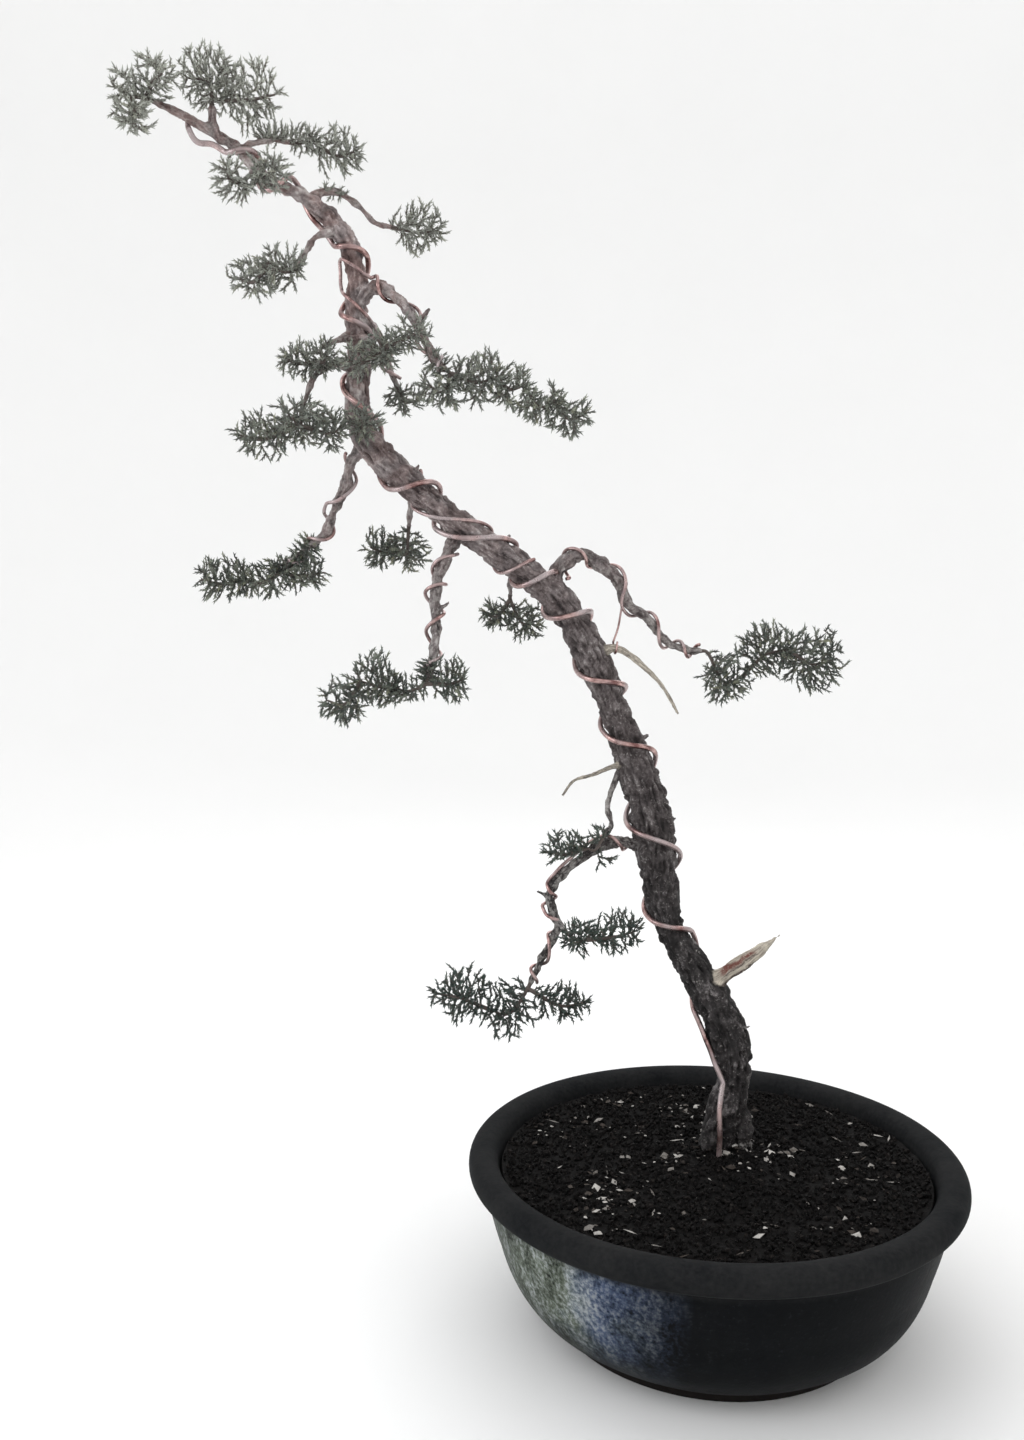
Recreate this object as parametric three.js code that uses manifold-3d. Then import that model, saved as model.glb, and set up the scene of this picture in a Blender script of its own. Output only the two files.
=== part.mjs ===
// A literati bonsai: a tall, thin, leaning juniper, wired in copper wire, in a round glazed pot.
// Millimetres, +Z up. Lengths along the tree are given from the pot's own axis, X to the right and
// Y away from the front, with Z = 0 on the table. The last lines move all of it so that the middle
// of the whole outline stands over the origin.
import * as THREE from "three";
import { mergeVertices } from "three/addons/utils/BufferGeometryUtils.js";
import Module from "manifold-3d";

const wasm = await Module();
wasm.setup();

// Driving sizes
const rimRadius = 135;
const potHeight = 90;
const footRadius = 88;
const footWidth = 9;
const footHeight = 7;
const floorTop = 15;
const drainRadius = 14;
const soilLevel = 82;
const moundHeight = 3;
const gap = 0.35; // left between pieces that touch
const barkRelief = 0.05; // how far the bark stands in and out, as a share of the radius
const trunkWireRadius = 1.5;
const branchWireRadius = 1.0;
const guyWireRadius = 0.6;
const wireSides = 4;
const turnStep = 45; // degrees from one corner of a wound wire to the next
const fringe = 7; // how far the needles stand out past the core and the shoots
const stepLength = 4.4; // from one ring of needles to the next
const shootSpacing = 11; // a lobe has one shoot for each of these in its half width and height
const coreRadius = 1.8;
const shootRadius = 1.3;
const needleLength = 9;
const needleRadius = 1;
const shortestNeedle = 4;
const shortestShoot = 3;
const lobeReach = 1.08; // how far needles may leave a lobe, as a share of its half sizes
const goldenAngle = Math.PI * (3 - Math.sqrt(5));
const roundSteps = 26; // sides of the pot and the soil
const grainCount = 18;
const stemAt = [11, 14]; // where the trunk stands, from the pot's axis
const screenThickness = 1.2;
const screenRadius = 26;
const innerRimRadius = rimRadius - 14;
const innerWall = { topRadius: 120, bottomRadius: 89, bulge: 0.4, levels: [24, 50, soilLevel - 2] };

const colours = {
  glaze: new THREE.MeshStandardMaterial({ color: 0x2b3238, roughness: 0.35 }),
  soil: new THREE.MeshStandardMaterial({ color: 0x2a221d, roughness: 0.95 }),
  mesh: new THREE.MeshStandardMaterial({ color: 0x20262a, roughness: 0.7 }),
  bark: new THREE.MeshStandardMaterial({ color: 0x51423a, roughness: 0.9 }),
  leaf: new THREE.MeshStandardMaterial({ color: 0x2f4433, roughness: 0.8 }),
  copper: new THREE.MeshStandardMaterial({ color: 0x8a4b33, roughness: 0.35, metalness: 0.9 }),
};

// The trunk, from the crotch of the roots to its left tip: x, y, z and radius
const trunkPoints = [
  [12, 14, 104, 9.0], [14, 14, 120, 8.6], [14, 14, 136, 10.0], [10, 14, 152, 10.8],
  [3, 15, 168, 10.4], [-6, 17, 183, 9.5], [-17, 20, 200, 8.0], [-24, 22, 216, 8.4],
  [-27, 25, 236, 10.3], [-30, 27, 258, 11.7], [-34, 28, 279, 11.7], [-41, 28, 301, 10.6],
  [-50, 26, 323, 8.2], [-59, 22, 346, 8.6], [-71, 18, 371, 9.2], [-84, 12, 391, 8.8],
  [-104, 7, 409, 7.6], [-124, 3, 422, 7.2], [-142, -1, 435, 7.4], [-160, -3, 450, 7.2],
  [-178, -5, 466, 7.8], [-190, -5, 482, 7.3], [-193, -3, 500, 6.2], [-192, -1, 522, 5.8],
  [-194, 1, 544, 5.9], [-193, 0, 562, 5.2], [-197, -3, 579, 5.2], [-208, -7, 593, 4.8],
  [-222, -14, 602, 3.6], [-236, -20, 606, 3.2], [-249, -26, 618, 3.0], [-264, -30, 627, 2.7],
  [-279, -36, 634, 1.9], [-289, -39, 637, 1.4],
];

// Roots that stand in the soil, each starting inside the foot of the trunk
const rootPoints = {
  left: [[9, 14, 116, 6.5], [4, 13, 103, 5.2], [0, 12, 91, 4.4], [-1, 12, 70, 3.6]],
  right: [[14, 14, 116, 6.5], [18, 13, 103, 5.0], [21, 13, 91, 4.2], [22, 13, 70, 3.5]],
  back: [[13, 17, 112, 6.5], [13, 24, 102, 4.8], [13, 29, 91, 4.0], [13, 31, 70, 3.4]],
};

// Branches that carry a spray each, from inside the trunk to their ends
const branchPoints = {
  crown: [[-260, -29, 625, 2.6], [-262, -28, 632, 2.2], [-262, -28, 639, 1.7]],
  left_high: [[-202, -5, 586, 3.0], [-212, -12, 581, 1.9], [-217, -20, 570, 1.6], [-220, -28, 560, 1.3]],
  right_high: [[-216, -11, 598, 3.0], [-211, -3, 606, 2.1], [-203, 3, 608, 1.9], [-193, 9, 603, 1.7],
    [-185, 14, 596, 1.5], [-176, 18, 595, 1.4]],
  right_crown: [[-249, -26, 618, 2.6], [-242, -21, 624, 1.8], [-232, -14, 628, 1.6], [-226, -9, 629, 1.4]],
  front_high: [[-240, -22, 609, 2.8], [-241, -30, 606, 1.7], [-241, -37, 602, 1.4]],
  left_knot: [[-193, 0, 533, 4.0], [-200, -8, 529, 1.9], [-208, -14, 524, 1.4]],
  right_knot: [[-193, 0, 530, 4.0], [-187, -9, 529, 1.8], [-182, -15, 527, 1.4]],
  right_upper: [[-193, 0, 548, 4.6], [-188, -3, 555, 3.7], [-181, -6, 557, 3.5], [-174, -11, 552, 3.2],
    [-164, -16, 541, 2.9], [-156, -21, 525, 2.6], [-150, -25, 514, 2.4], [-145, -27, 509, 2.2]],
  right_inner: [[-193, 0, 541, 3.2], [-184, 3, 537, 2.2], [-179, 4, 525, 2.0], [-176, 4, 514, 1.9],
    [-172, 3, 506, 1.7]],
  left_mid: [[-193, -2, 514, 4.0], [-204, -8, 516, 2.1], [-213, -15, 509, 1.7], [-217, -22, 496, 1.5]],
  tuft: [[-191, -5, 488, 4.0], [-190, -13, 487, 1.7], [-189, -17, 485, 1.4]],
  left_low: [[-188, -4, 476, 4.4], [-197, -1, 466, 3.2], [-201, 3, 454, 2.9], [-208, 8, 441, 2.6],
    [-213, 12, 430, 2.5], [-224, 17, 422, 2.3], [-231, 20, 416, 2.2], [-237, 22, 411, 2.0]],
  under_fork: [[-163, -3, 452, 3.0], [-166, 9, 443, 1.7], [-168, 19, 434, 1.4]],
  hanging: [[-139, 0, 430, 4.4], [-145, -4, 418, 3.5], [-150, -9, 404, 3.2], [-151, -14, 390, 3.0],
    [-151, -19, 374, 2.7], [-153, -25, 356, 2.4], [-155, -27, 351, 2.2]],
  under_bend: [[-108, 6, 409, 3.0], [-112, 15, 404, 1.6], [-112, 25, 396, 1.3]],
  right_low: [[-87, 11, 396, 5.5], [-87, 12, 407, 4.4], [-80, 14, 415, 4.1], [-71, 16, 418, 3.9],
    [-60, 18, 412, 3.6], [-52, 20, 404, 3.4], [-47, 23, 392, 3.1], [-36, 24, 384, 2.9],
    [-25, 27, 371, 2.6], [-14, 29, 366, 2.5], [-4, 30, 365, 2.3]],
  left_shelf: [[-41, 27, 300, 3.0], [-50, 27, 296, 2.1], [-55, 26, 285, 1.8], [-57, 25, 277, 1.7],
    [-55, 22, 267, 1.6], [-59, 17, 262, 1.5]],
  left_cascade: [[-30, 27, 259, 6.0], [-40, 25, 256, 3.7], [-50, 23, 258, 3.4], [-61, 21, 256, 3.2],
    [-72, 18, 249, 3.0], [-83, 16, 240, 2.8], [-90, 14, 230, 2.6], [-89, 12, 222, 2.5],
    [-86, 10, 213, 2.3], [-88, 8, 206, 2.2], [-94, 5, 196, 2.0], [-98, 3, 188, 1.9], [-101, 2, 182, 1.8]],
  cascade_side: [[-87, 10, 217, 2.6], [-83, 4, 213, 1.7], [-80, -3, 211, 1.4]],
};

// Stripped dead wood: a broken flake low on the right, a thin twig and a finer one
const deadPoints = {
  flake: [[0, 15, 178, 6.5], [9, 12, 185, 5.2], [18, 9, 192, 4.6], [27, 6, 200, 3.6], [35, 4, 207, 1.2]],
  strip: [[-64, 20, 362, 4.0], [-55, 16, 367, 2.3], [-46, 12, 363, 2.0], [-37, 7, 355, 1.6],
    [-29, 3, 346, 1.2], [-21, -2, 331, 0.7]],
  splinter: [[-43, 27, 302, 3.0], [-55, 22, 300, 1.5], [-66, 18, 296, 1.3], [-77, 14, 293, 1.0],
    [-83, 12, 285, 0.6]],
};

// Snags left where small twigs were cut: root, then tip
const snags = [
  [[-160, -19, 535], [-153, -22, 541]], [[-151, -15, 386], [-144, -17, 391]],
  [[-90, 14, 228], [-97, 15, 231]], [[-30, 27, 262], [-18, 25, 271]], [[-46, 27, 312], [-34, 24, 318]],
  [[-165, -4, 454], [-160, -8, 464]], [[-118, 4, 418], [-112, 2, 428]], [[10, 14, 150], [22, 8, 156]],
];

// Sprays: the branch that carries each one, and its lobes as centre and half sizes
const sprays = {
  crown_left: { on: "trunk", spacing: 9,
    lobes: [[-299, -42, 640, 12, 18, 14], [-286, -44, 646, 13, 15, 12], [-296, -47, 627, 13, 14, 9]] },
  crown: { on: "crown", spacing: 7, lobes: [[-263, -28, 653, 18, 22, 18], [-243, -26, 646, 19, 22, 20]] },
  right_crown: { on: "right_crown", lobes: [[-219, -5, 632, 11, 14, 9], [-202, -4, 626, 15, 18, 14]] },
  front_high: { on: "front_high", lobes: [[-246, -50, 595, 13, 14, 12], [-230, -50, 599, 14, 14, 11]] },
  right_high: { on: "right_high", lobes: [[-162, 25, 597, 18, 20, 16]] },
  left_high: { on: "left_high", lobes: [[-226, -37, 557, 15, 16, 13], [-240, -39, 551, 14, 16, 12]] },
  left_knot: { on: "left_knot", lobes: [[-208, -21, 516, 11, 13, 12], [-221, -22, 515, 12, 15, 12]] },
  right_knot: { on: "right_knot",
    lobes: [[-177, -24, 520, 12, 14, 12], [-163, -35, 525, 13, 14, 12], [-190, -29, 513, 11, 11, 11]] },
  right_inner: { on: "right_inner", lobes: [[-168, 4, 500, 13, 14, 9]] },
  right_upper: { on: "right_upper",
    lobes: [[-146, -30, 499, 15, 19, 13], [-128, -31, 504, 16, 20, 16], [-112, -32, 500, 14, 16, 13],
      [-97, -33, 491, 15, 18, 12], [-82, -33, 485, 14, 16, 13]] },
  left_mid: { on: "left_mid",
    lobes: [[-219, -31, 482, 18, 20, 15], [-238, -32, 475, 18, 20, 14], [-203, -32, 478, 11, 14, 13]] },
  tuft: { on: "tuft", lobes: [[-188, -25, 482, 13, 11, 12]] },
  left_low: { on: "left_low",
    lobes: [[-229, 24, 409, 20, 20, 13], [-251, 25, 405, 18, 21, 13], [-273, 25, 405, 18, 21, 16]] },
  under_fork: { on: "under_fork", lobes: [[-170, 27, 421, 16, 19, 14], [-185, 28, 423, 13, 16, 13]] },
  hanging: { on: "hanging",
    lobes: [[-165, -28, 346, 12, 14, 9], [-181, -29, 350, 15, 19, 18], [-198, -29, 340, 16, 20, 15],
      [-142, -30, 351, 13, 15, 14]] },
  under_bend: { on: "under_bend", lobes: [[-104, 34, 382, 14, 16, 14], [-120, 34, 386, 12, 14, 11]] },
  right_low: { on: "right_low",
    lobes: [[10, 34, 350, 18, 19, 18], [33, 31, 366, 20, 21, 19], [59, 30, 361, 23, 23, 22]] },
  left_shelf: { on: "left_shelf", lobes: [[-65, 10, 257, 15, 14, 14], [-82, 6, 255, 14, 15, 14]] },
  cascade_side: { on: "cascade_side", lobes: [[-74, -15, 212, 13, 14, 12], [-54, -16, 215, 16, 16, 14]] },
  cascade: { on: "left_cascade",
    lobes: [[-113, 1, 168, 18, 20, 19], [-139, 0, 177, 20, 21, 18], [-84, 0, 172, 19, 16, 13]] },
};

// Wound wires. A station is a place along the branch, in steps of its points, an angle in degrees and,
// where the wire stands clear of the bark, how far. The angle is 0 at the right, 90 at the front, 180 at
// the left and 270 behind on a trunk that stands up, and goes on from turn to turn.
const windings = {
  trunk_wire: { on: "trunk", radius: trunkWireRadius,
    foot: [[4, 0, 66], [4, 0, 84], [4.5, 0.5, 98], [4.5, 2.5, 110]],
    stations: [[1.2, 130], [2, 160], [4, 185], [6.1, 360], [7.2, 540], [8.5, 720], [9.6, 900],
      [11.1, 1080], [12.1, 1260], [12.8, 1440], [13.5, 1620], [14.5, 1800], [15.05, 1980],
      [15.5, 2160], [16.0, 2340], [16.5, 2520], [18.2, 2700], [18.8, 2880], [19.6, 3060],
      [21, 3240], [22.4, 3420], [22.9, 3510], [23.38, 3600], [23.72, 3690], [24.05, 3780],
      [24.8, 3870], [25.55, 3960], [25.9, 4050], [26.2, 4140], [26.6, 4160], [27.2, 4160],
      [27.75, 4230], [28.25, 4320], [28.6, 4410], [28.95, 4500], [29.3, 4590], [29.65, 4680],
      [29.95, 4770], [30.3, 4860], [30.75, 4865], [30.9, 4865, 2.2], [31.0, 4865, 3.4],
      [31.15, 4865, 3.6], [31.3, 4865, 2.4], [31.42, 4870, 0.2], [31.55, 4960]] },
  upper_wire: { on: "trunk", radius: branchWireRadius,
    stations: [[16.0, 2190], [16.6, 2370], [17.2, 2520], [18.9, 2700], [19.3, 2880]] },
  left_low_wire: { on: "left_low", radius: branchWireRadius,
    stations: [[0.8, 380], [1.3, 270], [1.75, 180, 1], [2.55, 90, 0.3], [2.9, 0, 1.2], [3.25, -20, 1.6],
      [3.6, -90], [3.95, -180], [4.35, -270], [4.8, -360], [5.3, -450], [5.7, -540], [6.2, -630],
      [6.7, -720]] },
  hanging_wire: { on: "hanging", radius: branchWireRadius,
    stations: [[0.9, 540], [1.3, 450], [1.7, 360], [2.0, 270], [2.2, 180], [2.38, 90], [2.6, 0, 1.8],
      [3.0, -90], [3.3, -180], [3.6, -270], [3.9, -360, 1.2], [4.3, -450], [4.55, -540], [4.8, -630],
      [5.05, -720], [5.4, -810], [5.7, -900]] },
  right_low_wire: { on: "right_low", radius: branchWireRadius,
    stations: [[0.9, 720], [1.35, 715, 2.2], [1.8, 630], [2.2, 540], [2.8, 450], [3.4, 360], [4.0, 270],
      [4.6, 180, 0.4], [5.5, 90], [6.34, 0], [6.8, -90], [7.1, -180], [7.6, -270], [8.1, -360],
      [8.4, -450], [8.65, -540], [8.95, -630], [9.3, -720], [9.6, -810], [9.9, -900]] },
  right_upper_wire: { on: "right_upper", radius: branchWireRadius,
    foot: [[-170.8, 4.5, 511.4], [-175.8, 0.2, 513.5], [-180.7, 3.6, 517], [-177.5, 7.7, 521],
      [-175.5, 2.6, 526], [-180, -0.4, 531.5], [-183.6, -1.2, 537], [-187.2, -4.8, 541.4],
      [-193, -7.2, 547], [-198.7, -5, 552.2], [-200.9, -1.6, 555.5], [-201.8, -0.6, 560],
      [-201.8, -0.5, 565], [-201.9, -1.4, 571], [-199.7, -6.2, 570.5], [-194.2, -7.7, 567],
      [-188.9, -5.3, 563.5]],
    stations: [[1.5, 190], [1.85, 175], [2.3, 90], [2.85, 0], [3.3, -90], [4.2, -180], [4.6, -270],
      [5.0, -360], [5.5, -450], [6.1, -540], [6.5, -630], [6.8, -700]] },
  cascade_wire: { on: "left_cascade", radius: branchWireRadius,
    stations: [[1.4, 230], [1.7, 180], [2.1, 110], [2.6, 20], [3.2, 0], [4.2, 20], [5.2, 25], [5.6, 10],
      [5.95, 90], [6.25, 180], [6.5, 270], [6.7, 360, 0.8], [7.3, 400, 0.8], [8.0, 500], [8.5, 630],
      [8.9, 720], [9.5, 810], [10.1, 900], [10.5, 990], [10.9, 1080], [11.3, 1170], [11.7, 1260]] },
};

const guyWire = [[-49.8, 22, 389.9], [-52, 20, 378], [-54, 17, 368.6]];

// The same small draw of numbers each time
function draws(seed) {
  let state = seed;
  return () => {
    state = (state * 16807) % 2147483647;
    return state / 2147483647;
  };
}

// A curve whose steps fall on its own points, not at even lengths
class Route extends THREE.CatmullRomCurve3 {
  getUtoTmapping(u) {
    return u;
  }
}

const vectors = (points) => points.map(([x, y, z]) => new THREE.Vector3(x, y, z));

function solidOf(geometry) {
  geometry.deleteAttribute("normal");
  geometry.deleteAttribute("uv");
  const merged = mergeVertices(geometry, 1e-4);
  return new wasm.Manifold(new wasm.Mesh({
    numProp: 3,
    vertProperties: merged.attributes.position.array,
    triVerts: new Uint32Array(merged.index.array),
  }));
}

function joined(geometries) {
  return geometries.map(solidOf).reduce((whole, next) => whole.add(next));
}

// Leaves out the loose scraps of bark that a groove can cut off
function largestBody(solid) {
  return solid.decompose().reduce((a, b) => (a.volume() > b.volume() ? a : b));
}

function meshOf(name, solid, material) {
  const { vertProperties, triVerts } = solid.getMesh();
  const geometry = new THREE.BufferGeometry();
  geometry.setAttribute("position", new THREE.BufferAttribute(vertProperties, 3));
  geometry.setIndex(new THREE.BufferAttribute(triVerts, 1));
  geometry.computeVertexNormals();
  const mesh = new THREE.Mesh(geometry, material);
  mesh.name = name;
  return mesh;
}

// Turns a curve's length into its radius, straight from point to point
function radiusAlong(points, at) {
  const below = Math.min(Math.floor(at), points.length - 2);
  return THREE.MathUtils.lerp(points[below][3], points[below + 1][3], at - below);
}

// A tapered length of wood: a cylinder bent along its points
function limb(points, sides, stepsPerPoint, relief = 0, flatness = 1) {
  const steps = (points.length - 1) * stepsPerPoint;
  const route = new Route(vectors(points));
  const frames = route.computeFrenetFrames(steps);
  const geometry = new THREE.CylinderGeometry(1, 1, 1, sides, steps);
  const position = geometry.attributes.position;
  const place = new THREE.Vector3();
  for (let i = 0; i < position.count; i++) {
    const step = Math.round((position.getY(i) + 0.5) * steps);
    const across = position.getX(i);
    const out = position.getZ(i);
    const angle = Math.atan2(out, across);
    const bump = 1 + relief * Math.sin(3 * angle + 1.7 * step) * Math.cos(2 * angle - 2.3 * step);
    const radius = radiusAlong(points, step / stepsPerPoint) * bump;
    place.copy(route.getPoint(step / steps));
    place.addScaledVector(frames.binormals[step], across * radius);
    place.addScaledVector(frames.normals[step], out * radius * flatness);
    position.setXYZ(i, place.x, place.y, place.z);
  }
  return geometry;
}

// A three-sided spike from one point to another
function spike(from, to, radius) {
  const along = to.clone().sub(from);
  const geometry = new THREE.ConeGeometry(radius, along.length(), 3);
  geometry.translate(0, along.length() / 2, 0);
  geometry.applyQuaternion(
    new THREE.Quaternion().setFromUnitVectors(new THREE.Vector3(0, 1, 0), along.normalize()));
  return geometry.translate(from.x, from.y, from.z);
}

// The points of a wire wound round a branch, at one distance from its bark unless a station lifts it
function windingPoints(branch, { stations, radius, foot = [] }) {
  const route = new Route(vectors(branch));
  const back = new THREE.Vector3(0, 1, 0);
  const points = vectors(foot);
  const chordShare = Math.cos(THREE.MathUtils.degToRad(turnStep / 2));
  const place = ([at, degrees, lift]) => {
    const tangent = route.getTangent(at / (branch.length - 1));
    const centre = vectors(branch)[Math.floor(at)].lerp(vectors(branch)[Math.floor(at) + 1], at % 1);
    const right = back.clone().cross(tangent).normalize();
    const front = right.clone().cross(tangent).normalize();
    const bark = radiusAlong(branch, at) * (1 + barkRelief);
    const reach = (bark + radius + gap) / chordShare + lift;
    const angle = THREE.MathUtils.degToRad(degrees);
    return centre
      .addScaledVector(right, reach * Math.cos(angle))
      .addScaledVector(front, reach * Math.sin(angle));
  };
  const rows = stations.map(([at, degrees, lift = 0]) => [at, degrees, lift]);
  points.push(place(rows[0]));
  for (let k = 1; k < rows.length; k++) {
    const count = Math.max(1, Math.ceil(Math.abs(rows[k][1] - rows[k - 1][1]) / turnStep));
    for (let i = 1; i <= count; i++) {
      points.push(place(rows[k].map((to, j) => THREE.MathUtils.lerp(rows[k - 1][j], to, i / count))));
    }
  }
  return points;
}

// An even-sided outline, as a wire's section or a round plate
function polygon(radius, sides) {
  const corner = (i) => new THREE.Vector2(radius, 0)
    .rotateAround(new THREE.Vector2(), (i * 2 * Math.PI) / sides);
  return new THREE.Shape(Array.from({ length: sides }, (_, i) => corner(i)));
}

function wireAlong(points, radius, sides) {
  return new THREE.ExtrudeGeometry(polygon(radius, sides), {
    steps: points.length - 1, extrudePath: new Route(points), bevelEnabled: false,
  });
}

function turned(profile) {
  return new THREE.LatheGeometry(profile, roundSteps).rotateX(Math.PI / 2);
}

// The inside of the pot between the floor and a level, as the soil and the pot both need it
function innerRadius(level) {
  const share = (level - floorTop) / (potHeight - floorTop);
  return THREE.MathUtils.lerp(innerWall.bottomRadius, innerWall.topRadius, share ** innerWall.bulge);
}

function pot() {
  const outline = new THREE.Path();
  outline.moveTo(drainRadius, footHeight);
  outline.lineTo(footRadius - footWidth, footHeight);
  outline.lineTo(footRadius - footWidth, 0);
  outline.lineTo(footRadius, 0);
  outline.lineTo(footRadius, footHeight);
  outline.lineTo(footRadius + 6, footHeight + 1);
  outline.quadraticCurveTo(112, 18, 118.5, 44);
  outline.quadraticCurveTo(124, 60, 126, potHeight - 16);
  outline.lineTo(rimRadius - 5, potHeight - 14);
  outline.quadraticCurveTo(rimRadius, potHeight - 12, rimRadius, potHeight - 7);
  outline.quadraticCurveTo(rimRadius, potHeight, rimRadius - 7, potHeight);
  outline.quadraticCurveTo(innerRimRadius - 1, potHeight, innerRimRadius - 2, potHeight - 5);
  for (const level of [...innerWall.levels].reverse()) outline.lineTo(innerRadius(level), level);
  outline.lineTo(innerRadius(floorTop), floorTop);
  outline.lineTo(drainRadius, floorTop);
  outline.lineTo(drainRadius, footHeight);
  let body = solidOf(turned(outline.getPoints(2)));
  for (const angle of [80, 200, 320]) {
    const notch = new THREE.BoxGeometry(footWidth * 3, 16, 8);
    notch.translate(footRadius - footWidth / 2, 0, 0);
    notch.rotateZ(THREE.MathUtils.degToRad(angle));
    body = body.subtract(solidOf(notch));
  }
  return body;
}

// The plastic screen that keeps the soil from the drain hole
function drainScreen() {
  const disc = new THREE.CylinderGeometry(screenRadius, screenRadius, screenThickness, 16);
  let plate = solidOf(disc.rotateX(Math.PI / 2));
  for (const across of [-5, 5]) {
    for (const up of [-5, 5]) {
      plate = plate.subtract(solidOf(new THREE.BoxGeometry(7, 7, 3).translate(across, up, 0)));
    }
  }
  return plate.translate([0, 0, floorTop + gap + screenThickness / 2]);
}

function soilHeight(x, y) {
  const away = Math.hypot(x - stemAt[0], y - stemAt[1]);
  return soilLevel + moundHeight * Math.exp(-((away / 45) ** 2));
}

function soil() {
  const under = floorTop + gap;
  const overScreen = under + screenThickness + gap;
  const profile = [[0, overScreen], [screenRadius + 1, overScreen], [screenRadius + 1, under]]
    .concat([[innerRadius(floorTop) - gap * 2, under]])
    .concat(innerWall.levels.map((level) => [innerRadius(level) - gap * 2, level]))
    .concat([[innerRadius(soilLevel - 2) - 2, soilLevel], [50, soilLevel], [0, soilLevel]])
    .map(([r, z]) => new THREE.Vector2(r, z));
  const body = turned(profile);
  const position = body.attributes.position;
  for (let i = 0; i < position.count; i++) {
    if (position.getZ(i) > soilLevel - 1) position.setZ(i, soilHeight(position.getX(i), position.getY(i)));
  }
  let ground = solidOf(body);
  const draw = draws(29);
  for (let i = 0; i < grainCount; i++) {
    const size = 2 + 2.4 * draw();
    const far = 18 + 84 * Math.sqrt(draw());
    const angle = 2 * Math.PI * draw();
    const [x, y] = [far * Math.cos(angle), far * Math.sin(angle)];
    const grain = new THREE.OctahedronGeometry(size);
    grain.scale(1, 0.8, 0.6).rotateX(2 * draw()).rotateZ(6 * draw());
    if (Math.hypot(x - stemAt[0], y - stemAt[1]) < 26) continue;
    ground = ground.add(solidOf(grain.translate(x, y, soilHeight(x, y) - 0.2)));
  }
  const hole = (x, y, radius) => {
    const drill = new THREE.CylinderGeometry(radius, radius, 40, 10).rotateX(Math.PI / 2);
    return solidOf(drill.translate(x, y, 84));
  };
  for (const points of Object.values(rootPoints)) {
    const foot = points[points.length - 1];
    ground = ground.subtract(hole(foot[0], foot[1], foot[3] + 2.2));
  }
  const [x, y] = windings.trunk_wire.foot[0];
  return ground.subtract(hole(x, y, trunkWireRadius + 0.9));
}

const paths = { trunk: trunkPoints, ...branchPoints };

function tree(wires) {
  const pieces = [limb(trunkPoints, 9, 1, barkRelief)];
  for (const points of Object.values(rootPoints)) pieces.push(limb(points, 7, 1, barkRelief));
  for (const points of Object.values(branchPoints)) pieces.push(limb(points, points[1][3] > 2.6 ? 6 : 4, 1));
  pieces.push(limb(deadPoints.flake, 6, 1, 0.1, 0.45));
  pieces.push(limb(deadPoints.strip, 4, 1), limb(deadPoints.splinter, 4, 1));
  for (const [root, tip] of snags) pieces.push(spike(...vectors([root, tip]), 1.8));
  let wood = joined(pieces);
  for (const { points, radius } of wires) {
    wood = wood.subtract(solidOf(wireAlong(points, radius + gap / Math.cos(Math.PI / wireSides), wireSides)));
  }
  return largestBody(wood);
}

// Round beads that mark the room already taken, so that needles are bent clear of it
const taken = [];

function take(owner, from, to, startRadius, endRadius) {
  const count = Math.max(2, Math.ceil(from.distanceTo(to) / 1.6));
  for (let i = 0; i <= count; i++) {
    const at = from.clone().lerp(to, i / count);
    taken.push({ owner, at, radius: THREE.MathUtils.lerp(startRadius, endRadius, i / count) });
  }
}

// Whether a needle clears everything but its own limb. An owner is a node's name and a limb's number,
// and limbs of one spray may meet near their roots. A whole shoot, with no number, may meet any of them.
function isClear(owner, from, to, radius) {
  const [node, number] = owner.split(" ");
  for (let i = 0; i <= 6; i++) {
    const at = from.clone().lerp(to, i / 6);
    const own = radius * (1 - i / 8);
    const blocked = (bead) => {
      if (bead.owner === owner) return false;
      const kin = bead.owner.startsWith(`${node} `);
      if (kin && (!number || i < 2)) return false;
      return bead.at.distanceTo(at) < bead.radius + own + (kin ? 0.1 : gap + 0.15);
    };
    if (taken.some(blocked)) return false;
  }
  return true;
}

function takePath(owner, points) {
  for (let i = 1; i < points.length; i++) {
    const [[from, startRadius], [to, endRadius]] = [points[i - 1], points[i]];
    take(owner, from, to, startRadius, endRadius);
  }
}

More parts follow.
